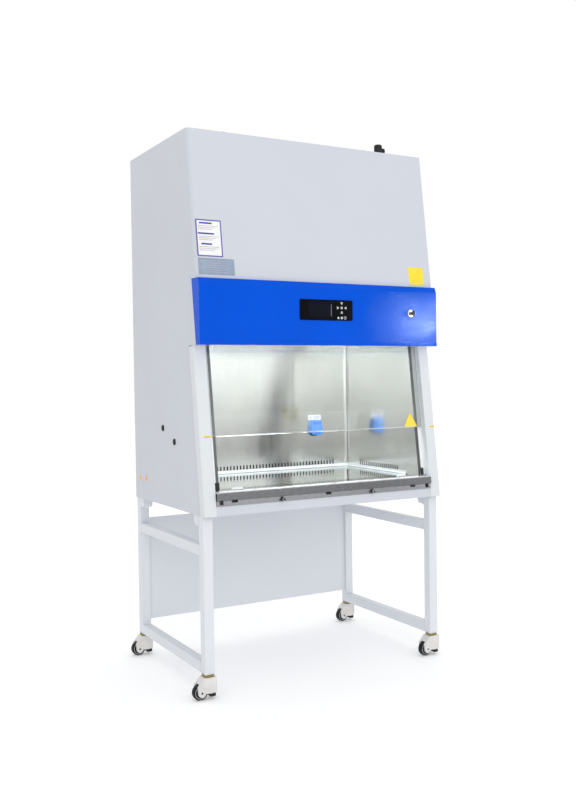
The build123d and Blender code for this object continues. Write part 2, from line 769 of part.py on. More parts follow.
def exhaust_filter():
    """Framed filter clamped up under the exhaust outlet."""
    y = exhaust_centre()
    x1 = exhaust_width / 2 + 30
    y1 = exhaust_depth / 2 + 18
    z1 = top - sheet
    frame = box(-x1, x1, y - y1, y + y1, z1 - filter_height, z1)
    for z in (z1 - filter_height, z1):
        frame -= box(-x1 + filter_frame, x1 - filter_frame, y - y1 + filter_frame, y + y1 - filter_frame,
                     z - 4, z + 4)
    return frame


def blower_base():
    return ceiling + sheet + filter_height


def blower_y():
    return -chamber_back - 20 - blower_depth / 2


def blower_housing():
    """Fan box on the filter's lid, with a flared inlet and the motor's fixed spindle."""
    x1 = blower_width / 2
    y = blower_y()
    y1 = blower_depth / 2
    z0 = blower_base()
    z1 = z0 + blower_height
    w = blower_wall
    lid_x = half_chamber + sheet
    housing = box(-x1, x1, y - y1, y + y1, z0, z1)
    housing += box(-lid_x, lid_x, -filter_front, -chamber_back + sheet, z0, z0 + w)
    housing -= box(-x1 + w, x1 - w, y - y1 + w, y + y1 - w, z0 - 1, z1 - w)
    flare = [(inlet_radius, 0), (inlet_radius + w, 0), (inlet_radius + w, 14), (inlet_radius + 18, 22),
             (inlet_radius + 18, 24), (inlet_radius, 16)]
    ring = revolve(make_face(Plane.XZ * Polyline(*flare, close=True)), Axis.Z, 360)
    housing -= Pos(0, y, z1) * Cylinder(inlet_radius + w / 2, 4 * w)
    housing += Pos(0, y, z1 - 14) * ring
    beam_z = z0 + 40
    housing += box(-x1 + w / 2, x1 - w / 2, y - 30, y + 30, beam_z, beam_z + 3)
    spindle = Cylinder(spindle_radius, impeller_height)
    housing += Pos(0, y, beam_z + 3 + impeller_height / 2) * spindle
    return housing


def impeller_floor():
    return blower_base() + 40 + 3 + 12


def blower_impeller():
    """Backward-curved impeller on its external-rotor hub."""
    height = impeller_height
    back = Cylinder(impeller_radius, 3, align=(Align.CENTER, Align.CENTER, Align.MIN))
    shroud = Cylinder(impeller_radius, 3, align=(Align.CENTER, Align.CENTER, Align.MIN))
    shroud -= Cylinder(inlet_radius + 4, 3, align=(Align.CENTER, Align.CENTER, Align.MIN))
    hub = Cylinder(motor_radius, height * 0.6, align=(Align.CENTER, Align.CENTER, Align.MIN))
    hub = chamfer(hub.edges().sort_by(Axis.Z)[-1], 10)
    wheel = back + hub + Pos(0, 0, height - 3) * shroud
    inner = inlet_radius - 12
    line = ThreePointArc((inner, 0), (impeller_radius * 0.86, 22), (impeller_radius - 1, 66))
    scale = (impeller_radius - 2) / math.hypot(impeller_radius - 1, 66)
    outer_point = ((impeller_radius - 1) * scale, 66 * scale)
    line = ThreePointArc((inner, 0), ((inner + outer_point[0]) / 2 + 6, 22), outer_point)
    blade = extrude(trace(line, 2.5), height - 3)
    for number in range(impeller_blades):
        wheel += Rot(0, 0, number * 360 / impeller_blades) * blade
    bore = Cylinder(spindle_radius + running_gap, height * 3)
    return Pos(0, blower_y(), impeller_floor()) * (wheel - bore)


# ---------------------------------------------------------------- sash and drive
def sash_glass():
    x1 = half_chamber + glass_side_cover
    pane = slope_box(-x1, x1, sash_bottom_rest, sash_top_rest, glass_front, glass_rear)
    return chamfer(pane.edges().filter_by(Axis.X).sort_by(Axis.Z)[0:2], 1.0)


def sash_carrier():
    """Clamp rail along the top of the glass with a belt shoe at each end."""
    x1 = half_chamber - sash_slot_clearance
    high = sash_top_rest + carrier_cap
    low = high - carrier_height
    shoe = pulley_width / 2
    rail_body = slope_box(-x1, x1, low, high, glass_front - carrier_wall, glass_rear + carrier_wall)
    rail_body -= slope_box(-x1 - 1, x1 + 1, low - 1, sash_top_rest, glass_front, glass_rear)
    x_end = belt_offset + shoe
    rail_body += slope_box(-x_end, x_end, low, high, glass_front - carrier_wall, glass_front)
    strand = -pulley_set_forward + pulley_radius + belt_thickness
    for side in (-1, 1):
        x = side * belt_offset
        rail_body += slope_box(x - shoe, x + shoe, low, high, strand + seam, glass_front)
    return rail_body


def sash_guide():
    """Channel for one edge of the glass, with a stop at its foot and the drive's side plate above."""
    edge = half_chamber + glass_side_cover + 2
    outer_x = edge + guide_wall
    low = guide_foot
    high = top_pulley_height + 40
    slot_front = glass_front - sash_slot_clearance
    slot_rear = glass_rear + sash_slot_clearance
    guide = slope_box(half_chamber, outer_x, low, high, slot_front - guide_wall, slot_rear + guide_rear_leg)
    guide -= slope_box(half_chamber - 1, edge, low - 1, high + 1, slot_front, slot_rear)
    guide -= slope_box(half_chamber - 1, post_inner - 1, low - 1, high + 1, 0, slot_front + 1)
    liner_side = half_chamber + sheet + seam
    guide += slope_box(liner_side, edge, low, low + stop_height, slot_rear + seam, guide_rear + stop_depth)
    guide -= slope_box(half_chamber - 1, edge - 1, idler_height - 60, high + 1, 0, slot_front + 1)
    plate_low = idler_height - pulley_radius - 2
    plate_front = -pulley_set_forward - pulley_radius
    guide += slope_box(outer_x - guide_wall, outer_x - guide_wall + drive_plate, plate_low, high, plate_front,
                       slot_rear)
    axis_z = pulley_set_forward
    pin_length = outer_x - belt_offset + 4
    pin = slope * Pos(outer_x - pin_length / 2 - 1, idler_height, axis_z) * Rot(0, 90, 0)
    guide += pin * Cylinder(idler_pin_radius, pin_length)
    hole = slope * Pos(outer_x, top_pulley_height, axis_z) * Rot(0, 90, 0)
    guide -= hole * Cylinder(stub_radius + running_gap, 4 * drive_plate)
    return guide


def drive_shaft():
    """Tube over the motor, with a flanged pulley and a stub at each end."""
    stub_end = half_chamber + glass_side_cover + 2 + guide_wall + drive_plate - 1
    shaft = Cylinder(stub_radius, 2 * stub_end)
    shaft += Cylinder(shaft_radius, 2 * (belt_offset - pulley_width / 2))
    for side in (-1, 1):
        shaft += Pos(0, 0, side * belt_offset) * pulley()
    return slope * Pos(0, top_pulley_height, pulley_set_forward) * Rot(0, 90, 0) * shaft


def pulley():
    """Pulley for the flat belt, with two low flanges."""
    flange = 1.5
    wheel = Cylinder(pulley_radius - seam, pulley_width - 2)
    for side in (-1, 1):
        wheel += Pos(0, 0, side * (pulley_width / 2 - flange / 2)) * Cylinder(pulley_radius + 1, flange)
    return wheel


def idler_pulley(side):
    wheel = pulley() - Cylinder(idler_pin_radius + running_gap, 3 * pulley_width)
    return slope * Pos(side * belt_offset, idler_height, pulley_set_forward) * Rot(0, 90, 0) * wheel


def drive_belt(side):
    """Closed flat belt round one drive pulley and its idler."""
    span = top_pulley_height - idler_height
    outer = SlotCenterToCenter(span, 2 * (pulley_radius + belt_thickness))
    inner = SlotCenterToCenter(span, 2 * pulley_radius)
    loop = Plane.YZ * extrude(outer - inner, belt_width / 2, both=True)
    middle = (top_pulley_height + idler_height) / 2
    return slope * Pos(side * belt_offset, middle, pulley_set_forward) * loop


# ---------------------------------------------------------------- controls
def key_places():
    """Name and centre of each key on the display panel."""
    x = key_cross_offset
    z = underside + display_centre_height + key_cross_rise
    row = z - key_row_drop
    p = key_cross_pitch
    return [("key_up", x, z + p), ("key_left", x - p, z), ("key_centre", x, z), ("key_right", x + p, z),
            ("key_down", x, z - p), ("key_lamp", x - key_row_pitch, row), ("key_fan", x, row),
            ("key_power", x + key_row_pitch, row)]


def display_bezel():
    """Moulded display frame: thin rim on the fascia, deeper neck through it."""
    z = underside + display_centre_height
    x1 = bezel_width / 2
    z1 = bezel_height / 2
    face_y = -fascia_face - bezel_proud
    rim = box(-x1, x1, face_y, -fascia_face, z - z1, z + z1)
    rim = fillet(rim.edges().filter_by(Axis.Y), bezel_corner)
    rim = chamfer(rim.faces().sort_by(Axis.Y)[0].edges(), 0.8)
    neck_x = x1 - 8 - seam
    neck_z = z1 - 8 - seam
    bezel = rim + box(-neck_x, neck_x, -fascia_face, -fascia_face + bezel_depth, z - neck_z, z + neck_z)
    bezel -= box(screen_offset - screen_width / 2, screen_offset + screen_width / 2, face_y - 1,
                 face_y + screen_sink + 4, z - screen_height / 2, z + screen_height / 2)
    for _, x, key_z in key_places():
        bezel -= Pos(x, face_y, key_z) * Rot(90, 0, 0) * Cylinder(key_radius + key_gap, 2 * key_thickness + 2)
    return bezel


def display_screen():
    z = underside + display_centre_height
    face_y = -fascia_face - bezel_proud + screen_sink
    x1 = screen_width / 2 - 0.1
    z1 = screen_height / 2 - 0.1
    return box(screen_offset - x1, screen_offset + x1, face_y, face_y + 4, z - z1, z + z1)


def panel_key(x, z):
    """Round key that stands a little proud of the display frame."""
    face_y = -fascia_face - bezel_proud - key_proud
    key = Cylinder(key_radius, key_thickness)
    key = chamfer(key.edges().sort_by(Axis.Z)[-1], 0.4)
    return Pos(x, face_y + key_thickness / 2, z) * Rot(90, 0, 0) * key


def key_switch_body():
    """Chromed ring of the key switch, with its threaded neck behind the fascia."""
    ring = Cylinder(lock_radius, lock_proud, align=(Align.CENTER, Align.CENTER, Align.MIN))
    ring = chamfer(ring.edges().sort_by(Axis.Z)[-1], 2.5)
    neck = Cylinder(lock_radius - 3 - seam, 24, align=(Align.CENTER, Align.CENTER, Align.MAX))
    bore_depth = 26.0
    bore = Pos(0, 0, lock_proud - bore_depth) * Cylinder(barrel_radius + running_gap, bore_depth * 2,
                                                        align=(Align.CENTER, Align.CENTER, Align.MIN))
    body = ring + neck - bore
    return Pos(lock_offset, -fascia_face, underside + lock_height) * Rot(90, 0, 0) * body


def key_barrel():
    """Turning barrel with its key slot."""
    length = 23.0
    barrel = Cylinder(barrel_radius, length, align=(Align.CENTER, Align.CENTER, Align.MAX))
    slot_depth = key_blade_depth + 1
    barrel -= Pos(0, 0, -slot_depth / 2) * Box(key_blade_thickness + 0.3, key_blade_width + 0.3, slot_depth)
    out = fascia_face + lock_proud - barrel_recess
    return Pos(lock_offset, -out, underside + lock_height) * Rot(90, 0, 0) * barrel


def power_key():
    """Flat key with a round bow, standing in the barrel."""
    bow = Cylinder(key_bow_radius, key_blade_thickness)
    bow -= Pos(0, key_bow_radius / 2, 0) * Cylinder(1.9, key_blade_thickness * 2)
    bow = Pos(0, key_bow_radius + 5, 0) * bow
    shoulder = Pos(0, 4, 0) * Box(key_blade_width + 4, 7, key_blade_thickness)
    blade = Pos(0, -key_blade_depth / 2 + 0.5, 0) * Box(key_blade_width, key_blade_depth, key_blade_thickness)
    key = Rot(0, 90, 0) * (bow + shoulder + blade)
    out = fascia_face + lock_proud - barrel_recess + seam
    return Pos(lock_offset, -out, underside + lock_height) * Rot(0, 0, 180) * key


# ---------------------------------------------------------------- services
def side_plug(back, height):
    """Rubber plug in one of the blanked service holes of the left side."""
    flange = Cylinder(plug_radius, plug_flange, align=(Align.CENTER, Align.CENTER, Align.MIN))
    flange = chamfer(flange.edges().sort_by(Axis.Z)[-1], plug_flange / 2)
    neck = Cylinder(plug_radius - 2 - running_gap, 12, align=(Align.CENTER, Align.CENTER, Align.MAX))
    return Pos(-half_width, -back, underside + height) * Rot(0, -90, 0) * (flange + neck)


def top_gland():
    """Stopped elbow gland on the roof, its arm pointing to the operator's right."""
    body = Cylinder(gland_radius, gland_height, align=(Align.CENTER, Align.CENTER, Align.MIN))
    body = chamfer(body.edges().sort_by(Axis.Z)[-1], 4)
    arm = Cylinder(gland_arm_radius, gland_arm_length, align=(Align.CENTER, Align.CENTER, Align.MIN))
    arm = chamfer(arm.edges().sort_by(Axis.Z)[-1], 4)
    elbow = body + Pos(0, 0, gland_arm_height) * Rot(0, 90, 0) * arm
    return Pos(half_width - gland_inset, gland_setback - base_depth, top) * elbow


def bell_outline(half, rise, drop):
    """Outline of the socket and its flap: narrow head, wide waist, clipped foot."""
    shoulder = half * 0.74
    return [(-shoulder, rise), (shoulder, rise), (half, rise - half), (half, -drop + half * 0.25),
            (shoulder, -drop), (-shoulder, -drop), (-half, -drop + half * 0.25), (-half, rise - half)]


def bell_plate(half, rise, drop, thickness):
    """Bell outline standing in the XZ plane, its front face at y = 0."""
    face = make_face(Plane.XZ * Polyline(*bell_outline(half, rise, drop), close=True))
    return extrude(face, thickness, dir=(0, 1, 0))


def socket_centre():
    """Middle of the socket on the chamber's back wall."""
    return half_chamber - socket_inset, -chamber_back, underside + socket_height


def socket_body():
    """Covered power socket: bell-shaped case on the chamber's back wall, with hinge ears on top."""
    x, wall_y, z = socket_centre()
    half = socket_size / 2
    case = Pos(x, wall_y - socket_depth, z) * bell_plate(half, half, half, socket_depth)
    face = Pos(x, wall_y - socket_depth, z - 3) * Rot(90, 0, 0)
    case -= face * Cylinder(socket_face_radius, 2 * socket_face_sink)
    for pin_x in (-9.5, 9.5):
        case -= face * Pos(pin_x, 0, 0) * Cylinder(1.9, 20)
    hinge_y, hinge_z = flap_hinge()
    for side in (-1, 1):
        ear_x = x + side * (hinge_pin_length / 2 - 4)
        case += box(ear_x - 4, ear_x + 4, hinge_y - 4, wall_y - socket_depth + 1, hinge_z - 4, hinge_z + 4)
    return case + Pos(x, hinge_y, hinge_z) * Rot(0, 90, 0) * Cylinder(hinge_pin_radius, hinge_pin_length)


def flap_hinge():
    """y and z of the flap's hinge pin."""
    _, wall_y, z = socket_centre()
    return wall_y - socket_depth - flap_standoff, z + socket_size / 2 - 8


def socket_cover():
    """Hinged splash flap with a knuckle on the pin and a lip to lift it by."""
    hinge_y, hinge_z = flap_hinge()
    back_y = flap_standoff - 2 * seam
    knuckle_length = hinge_pin_length - 18
    web = box(-knuckle_length / 2, knuckle_length / 2, back_y - flap_thickness, back_y, -flap_drop / 4, 0)
    plate = Pos(0, back_y - flap_thickness, -flap_drop / 2 - 5)
    plate = plate * bell_plate(socket_size / 2 - 1, flap_drop / 2 - 2, flap_drop / 2, flap_thickness)
    dome_place = Pos(0, back_y - flap_thickness - 1, -flap_drop / 2 - 5)
    dome = dome_place * Rot(90, 0, 0) * Cylinder(flap_dome_radius, 5)
    dome = chamfer(dome.edges().sort_by(Axis.Y)[0], 1.5)
    lip = box(-10, 10, back_y - flap_thickness - 5, back_y - 1, -flap_drop - 7, -flap_drop - 3)
    flap = Rot(0, 90, 0) * Cylinder(5, knuckle_length) + web + plate + dome + lip
    flap -= Rot(0, 90, 0) * Cylinder(hinge_pin_radius + running_gap, socket_size)
    return Pos(socket_centre()[0], hinge_y, hinge_z) * flap


# ---------------------------------------------------------------- assembly
def build_parts():
    parts = {}
    parts["stand_left_frame"] = stand_frame(-1)
    parts["stand_right_frame"] = stand_frame(1)
    parts["stand_back_sheet"] = stand_back_sheet()
    parts["stand_brackets"] = group([stand_bracket(*place) for place in bracket_places()])
    parts["bracket_bolts"] = group([bracket_bolt(x, y) for x, y, _ in bracket_places()])
    parts["caster_races"] = group([caster_race(x, y) for _, x, y in caster_places()])
    for place, x, y in caster_places():
        parts["caster_fork_" + place] = caster_fork(x, y)
        parts["caster_wheel_" + place] = caster_wheel(x, y)
        parts["caster_pad_" + place] = caster_pad(x, y)

    parts["base_pan"] = base_pan()
    parts["left_side_panel"] = side_panel(-1)
    parts["right_side_panel"] = side_panel(1)
    parts["back_panel"] = back_panel()
    parts["top_panel"] = top_panel()
    parts["front_cover"] = front_cover()
    parts["control_fascia"] = control_fascia()
    parts["left_front_post"] = front_post(-1)
    parts["right_front_post"] = front_post(1)
    parts["armrest"] = armrest()
    parts["thumb_screws"] = group([thumb_screw(x) for x in thumb_screw_places()])

    parts["work_liner"] = work_liner()
    parts["work_tray"] = work_tray()
    parts["front_grille"] = front_grille()
    parts["diffuser_plate"] = diffuser_plate()
    parts["light_fitting"] = light_fitting()
    parts["lamp_tubes"] = group([lamp_tube(y) for y in lamp_places()])
    parts["clean_air_filters"] = group([supply_filter(), exhaust_filter()])
    parts["blower_housing"] = blower_housing()
    parts["blower_impeller"] = blower_impeller()

    parts["sash_glass"] = sash_glass()
    parts["sash_carrier"] = sash_carrier()
    parts["sash_guides"] = group(both_sides(sash_guide()))
    parts["drive_shaft"] = drive_shaft()
    parts["idler_pulleys"] = group([idler_pulley(-1), idler_pulley(1)])
    parts["drive_belts"] = group([drive_belt(-1), drive_belt(1)])

    parts["display_bezel"] = display_bezel()
    parts["display_screen"] = display_screen()
    for name, x, z in key_places():
        parts[name] = panel_key(x, z)
    parts["key_switch_body"] = key_switch_body()
    parts["key_barrel"] = key_barrel()
    parts["power_key"] = power_key()

    parts["service_plugs"] = group([side_plug(*place) for place in plug_places] + [top_gland()])
    parts["socket_body"] = socket_body()
    parts["socket_cover"] = socket_cover()
    return parts


def main():
    parts = build_parts()
    whole = Compound(children=[part.moved(Location()) for part in parts.values()]).bounding_box()
    centring = Pos(-(whole.min.X + whole.max.X) / 2, -(whole.min.Y + whole.max.Y) / 2, 0)
    print("moved by", centring.position, "size", whole.size)
    os.makedirs("parts", exist_ok=True)
    for name, part in parts.items():
        export_step(centring * part, "parts/" + name + ".step")


main()
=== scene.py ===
# %% [markdown]
# # A biosafety cabinet on its wheeled stand
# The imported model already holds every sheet, tube, pulley and wheel as solids. This lesson dresses
# it: each sheet gets the finish it has on the real cabinet, and the small things that a solid
# model leaves out, such as labels, key symbols and knurls, are modelled with bmesh operators.
# Everything is in metres in the model's own frame: +Z up, the operator on the -Y side.

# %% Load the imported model
import math
import bmesh
import bpy
from mathutils import Matrix, Vector


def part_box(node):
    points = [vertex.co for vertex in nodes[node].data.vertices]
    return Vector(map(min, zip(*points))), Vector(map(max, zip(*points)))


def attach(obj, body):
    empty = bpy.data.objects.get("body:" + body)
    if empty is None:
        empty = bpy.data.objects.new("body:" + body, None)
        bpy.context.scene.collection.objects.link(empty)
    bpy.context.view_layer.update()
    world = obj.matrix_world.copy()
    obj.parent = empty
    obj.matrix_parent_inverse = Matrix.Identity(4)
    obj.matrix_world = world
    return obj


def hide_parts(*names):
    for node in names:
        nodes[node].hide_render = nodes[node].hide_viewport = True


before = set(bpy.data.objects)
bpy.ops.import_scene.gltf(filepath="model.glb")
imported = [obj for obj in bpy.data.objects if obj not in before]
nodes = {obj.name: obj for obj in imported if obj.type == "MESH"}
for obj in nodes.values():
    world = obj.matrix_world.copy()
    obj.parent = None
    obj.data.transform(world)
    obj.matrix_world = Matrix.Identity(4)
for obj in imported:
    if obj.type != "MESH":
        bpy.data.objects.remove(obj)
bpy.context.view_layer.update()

# %% [markdown]
# ## Places on the cabinet
# The operator's side leans back by 7.5 degrees, so labels, keys and marks sit on three different
# planes. A matrix for each plane lets a piece be drawn flat, with x across, y up and z outwards,
# and then be carried to its place. The whole cabinet hangs on a few measures that the solids
# share: its centre line, its back face and its underside.

# %% Planes of the front, the fascia and the left side
CENTRE_X = 0.018
BACK_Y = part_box("back_panel")[1].y
UNDERSIDE = 0.690
LEAN = math.radians(7.5)
HALF_WIDTH = 0.550
BASE_DEPTH = 0.735
COVER_FORWARD = 0.075 * math.cos(LEAN)
FASCIA_FACE = 0.714


def front_plane(x, height, forward=0.0):
    """Matrix of a spot on the leaning front: x from the left edge, height above the underside."""
    up = (height - forward * math.sin(LEAN)) / math.cos(LEAN)
    across = Vector((1, 0, 0))
    along = Vector((0, math.sin(LEAN), math.cos(LEAN)))
    out = Vector((0, -math.cos(LEAN), math.sin(LEAN)))
    foot = Vector((CENTRE_X - HALF_WIDTH + x, BACK_Y - BASE_DEPTH, UNDERSIDE))
    return plane_matrix(across, along, out, foot + along * up + out * forward)


def plane_matrix(across, along, out, place):
    """Matrix with the given directions as its x, y and z, and its origin at place."""
    matrix = Matrix((across, along, out)).transposed().to_4x4()
    matrix.translation = place
    return matrix


def upright_plane(place):
    """Matrix of an upright spot that faces the operator."""
    return plane_matrix(Vector((1, 0, 0)), Vector((0, 0, 1)), Vector((0, -1, 0)), place)


def fascia_plane(x, height, forward=0.0):
    """Matrix of a spot on the upright control fascia."""
    return upright_plane(Vector((CENTRE_X - HALF_WIDTH + x, BACK_Y - FASCIA_FACE - forward,
                                 UNDERSIDE + height)))


def left_side_plane(back, height, forward=0.0):
    """Matrix of a spot on the left side, back metres in front of the cabinet's back face."""
    place = Vector((CENTRE_X - HALF_WIDTH - forward, BACK_Y - back, UNDERSIDE + height))
    return plane_matrix(Vector((0, -1, 0)), Vector((0, 0, 1)), Vector((-1, 0, 0)), place)


print("back face at y", round(BACK_Y, 4), "fascia face at y", round(BACK_Y - FASCIA_FACE, 4))

# %% [markdown]
# ## The camera
# A cabinet this tall is best seen from about chest height, well to its left, so that its front
# and its left side both show. The camera is built from its direction rather than from a
# target, so that its small roll can be stated.

# %% Camera
CAMERA_PLACE = Vector((-1.9169, -3.49435, 1.2074))
YAW, PITCH, ROLL = (math.radians(a) for a in (29.769, 1.719, 0.733))

ahead = Vector((math.sin(YAW) * math.cos(PITCH), math.cos(YAW) * math.cos(PITCH), -math.sin(PITCH)))
level_right = Vector((math.cos(YAW), -math.sin(YAW), 0))
level_up = level_right.cross(ahead)
right = level_right * math.cos(ROLL) - level_up * math.sin(ROLL)
up = level_up * math.cos(ROLL) + level_right * math.sin(ROLL)
camera_data = bpy.data.cameras.new("studio_camera")
camera_data.lens = 42.34
camera_data.sensor_width = 36
camera_data.shift_x = -0.0143
camera_data.shift_y = 0.0132
camera = bpy.data.objects.new("studio_camera", camera_data)
bpy.context.scene.collection.objects.link(camera)
camera.matrix_world = plane_matrix(right, up, -ahead, CAMERA_PLACE)
bpy.context.scene.camera = camera
print("camera height", CAMERA_PLACE.z)

# %% [markdown]
# ## A kit for finishes
# Every finish starts from one Principled shader. A constant, such as how metallic it is, is set
# on the shader's own socket. What varies over the surface, such as the orange peel of powder
# coat, comes from noise that reads the piece's own coordinates in metres, so that a grain of
# 1 mm is 1 mm on every piece.


# %% Start a finish and add grain to it
def start_finish(name, colour, roughness, metallic=0.0, **constants):
    """A new material with its Principled shader's constants set; returns material and shader."""
    material = bpy.data.materials.new(name)
    material.use_nodes = True
    shader = material.node_tree.nodes["Principled BSDF"]
    shader.inputs["Base Color"].default_value = (*colour, 1)
    shader.inputs["Roughness"].default_value = roughness
    shader.inputs["Metallic"].default_value = metallic
    for socket, value in constants.items():
        shader.inputs[socket.replace("_", " ")].default_value = value
    material.diffuse_color = (*colour, 1)
    return material, shader


def add_grain(material, size, stretch=(1, 1, 1), detail=3.0):
    """Noise with features about size metres across, drawn out along an axis by stretch."""
    tree = material.node_tree
    where = tree.nodes.new("ShaderNodeTexCoord")
    scale = tree.nodes.new("ShaderNodeMapping")
    scale.inputs["Scale"].default_value = [1 / (size * s) for s in stretch]
    noise = tree.nodes.new("ShaderNodeTexNoise")
    noise.inputs["Scale"].default_value = 1.0
    noise.inputs["Detail"].default_value = detail
    tree.links.new(where.outputs["Object"], scale.inputs["Vector"])
    tree.links.new(scale.outputs["Vector"], noise.inputs["Vector"])
    return noise.outputs["Fac"]


def vary_colour(material, shader, grain, dark, light):
    """Base colour runs from dark to light with the grain."""
    ramp = material.node_tree.nodes.new("ShaderNodeValToRGB")
    ramp.color_ramp.elements[0].position = 0.3
    ramp.color_ramp.elements[1].position = 0.7
    ramp.color_ramp.elements[0].color = (*dark, 1)
    ramp.color_ramp.elements[1].color = (*light, 1)
    material.node_tree.links.new(grain, ramp.inputs["Fac"])
    material.node_tree.links.new(ramp.outputs["Color"], shader.inputs["Base Color"])


def vary_roughness(material, shader, grain, low, high):
    """Roughness runs from low to high with the grain."""
    reach = material.node_tree.nodes.new("ShaderNodeMapRange")
    reach.inputs["From Min"].default_value = 0.3
    reach.inputs["From Max"].default_value = 0.7
    reach.inputs["To Min"].default_value = low
    reach.inputs["To Max"].default_value = high
    material.node_tree.links.new(grain, reach.inputs["Value"])
    material.node_tree.links.new(reach.outputs["Result"], shader.inputs["Roughness"])


def emboss(material, shader, grain, height):
    """The grain raises the surface by up to height metres."""
    bump = material.node_tree.nodes.new("ShaderNodeBump")
    bump.inputs["Strength"].default_value = 1.0
    bump.inputs["Distance"].default_value = height
    material.node_tree.links.new(grain, bump.inputs["Height"])
    material.node_tree.links.new(bump.outputs["Normal"], shader.inputs["Normal"])


def tint(colour, factor):
    """A colour made lighter or darker."""
    return tuple(min(1.0, c * factor) for c in colour)


print("finish kit ready")

# %% [markdown]
# ## Paint
# Casing and stand are powder coated. Such a coat has a fine orange peel, about 2 mm from hill to
# hill and some hundredths of a millimetre high, and very slight changes of gloss. The control
# fascia is a glossy wet coat with a coarser peel, 10 mm from hill to hill, which spreads a lamp's
# reflection into a soft patch.


# %% Powder coat and gloss coat
def powder_coat(name, colour, roughness=0.42):
    material, shader = start_finish(name, colour, roughness, Specular_IOR_Level=0.3)
    cloud = add_grain(material, 0.35, detail=2.0)
    vary_colour(material, shader, cloud, tint(colour, 0.985), tint(colour, 1.012))
    patches = add_grain(material, 0.06)
    vary_roughness(material, shader, patches, roughness - 0.04, roughness + 0.05)
    emboss(material, shader, add_grain(material, 0.0018, detail=1.0), 0.00002)
    return material


def gloss_coat(name, colour):
    material, shader = start_finish(name, colour, 0.10, Specular_IOR_Level=0.12)
    shader.inputs["Specular Tint"].default_value = (0.45, 0.68, 1.0, 1)
    vary_colour(material, shader, add_grain(material, 0.2), tint(colour, 0.96), tint(colour, 1.04))
    vary_roughness(material, shader, add_grain(material, 0.03), 0.05, 0.08)
    emboss(material, shader, add_grain(material, 0.010, detail=1.0), 0.0007)
    return material


# The casing's white is darker and the stand's lighter, with the posts between: painted shade and painted
# light for the dimmer light from above and the floor's bounce on the low stand.
casing_white = powder_coat("casing_white", (0.58, 0.605, 0.66))
post_white = powder_coat("post_white", (0.68, 0.71, 0.73))
stand_white = powder_coat("stand_white", (0.70, 0.725, 0.765))
fascia_blue = gloss_coat("fascia_blue", (0.0, 0.080, 0.64))
print("paints:", casing_white.name, post_white.name, stand_white.name, fascia_blue.name)

# %% [markdown]
# ## Bare metal
# Stainless sheet has a brushed grain: scratches some centimetres long and a fraction of a
# millimetre wide. Stretched noise draws them in the roughness, and on the armrest and the guides
# in the bump too. The liner is also anisotropic: its reflections are drawn out across the grain.
# The work surface is polished almost to a mirror. Zinc-plated parts are duller, and the caster
# races have the yellow chromate that runs from brass to green.


# %% Stainless steel, aluminium and platings
def brushed_sheet(name, colour, low, high, along=(60, 60, 1), depth=0.000004):
    material, shader = start_finish(name, colour, low, metallic=1.0)
    vary_colour(material, shader, add_grain(material, 0.25), tint(colour, 0.95), tint(colour, 1.04))
    scratches = add_grain(material, 0.0006, stretch=along, detail=2.0)
    vary_roughness(material, shader, scratches, low, high)
    if depth > 0:
        emboss(material, shader, scratches, depth)
    return material


def plated(name, colour, low, high, second=None):
    material, shader = start_finish(name, colour, low, metallic=1.0)
    vary_colour(material, shader, add_grain(material, 0.012), colour, second or tint(colour, 1.08))
    vary_roughness(material, shader, add_grain(material, 0.004), low, high)
    emboss(material, shader, add_grain(material, 0.0008), 0.00001)
    return material


liner_steel = brushed_sheet("liner_steel", (0.80, 0.81, 0.785), 0.13, 0.16, along=(60, 60, 600), depth=0)
liner_shader = liner_steel.node_tree.nodes["Principled BSDF"]
liner_shader.inputs["Anisotropic"].default_value = 0.8
liner_shader.inputs["Anisotropic Rotation"].default_value = 0.25
tray_steel = brushed_sheet("tray_steel", (0.37, 0.43, 0.43), 0.07, 0.11, depth=0)
armrest_steel = brushed_sheet("armrest_steel", (0.40, 0.41, 0.43), 0.24, 0.34)
guide_aluminium = brushed_sheet("guide_aluminium", (0.15, 0.16, 0.165), 0.28, 0.42, along=(1, 8, 60))
zinc_steel = plated("zinc_steel", (0.72, 0.73, 0.74), 0.24, 0.36)
yellow_zinc = plated("yellow_zinc", (0.36, 0.22, 0.08), 0.26, 0.40, second=(0.20, 0.24, 0.09))
dark_steel = plated("dark_steel", (0.10, 0.10, 0.105), 0.25, 0.4)
polished_chrome = plated("polished_chrome", (0.82, 0.83, 0.84), 0.06, 0.12)
print("metals:", liner_steel.name, tray_steel.name, yellow_zinc.name)

# %% [markdown]
# Some parts change their look along one axis. The tray's coved upstand is painted near-white and
# matt, a painted highlight where the cove catches the lamps. The armrest's upper face is painted
# darker than the flat below, painted shade, and its top edge near-white, a painted highlight. The
# sash guides are dark where the glass runs and painted near-white outside, painted light on faces in
# shade. Separate XYZ gives the height or the distance from the centre line, and Map Range turns a
# little of it into a step.


# %% A step at a height or at a distance from the centre line
def add_step(material, axis, start, blend, centre=0.0):
    """0 near the centre and 1 further than start from it along an axis, over blend metres."""
    tree = material.node_tree
    where = tree.nodes.new("ShaderNodeTexCoord")
    split = tree.nodes.new("ShaderNodeSeparateXYZ")
    offset = tree.nodes.new("ShaderNodeMath")
    offset.operation = "SUBTRACT"
    offset.inputs[1].default_value = centre
    reach = tree.nodes.new("ShaderNodeMath")
    reach.operation = "ABSOLUTE"
    step = tree.nodes.new("ShaderNodeMapRange")
    step.inputs["From Min"].default_value = start
    step.inputs["From Max"].default_value = start + blend
    tree.links.new(where.outputs["Object"], split.inputs["Vector"])
    tree.links.new(split.outputs[axis], offset.inputs[0])
    tree.links.new(offset.outputs["Value"], reach.inputs[0])
    tree.links.new(reach.outputs["Value"], step.inputs["Value"])
    return step.outputs["Result"]


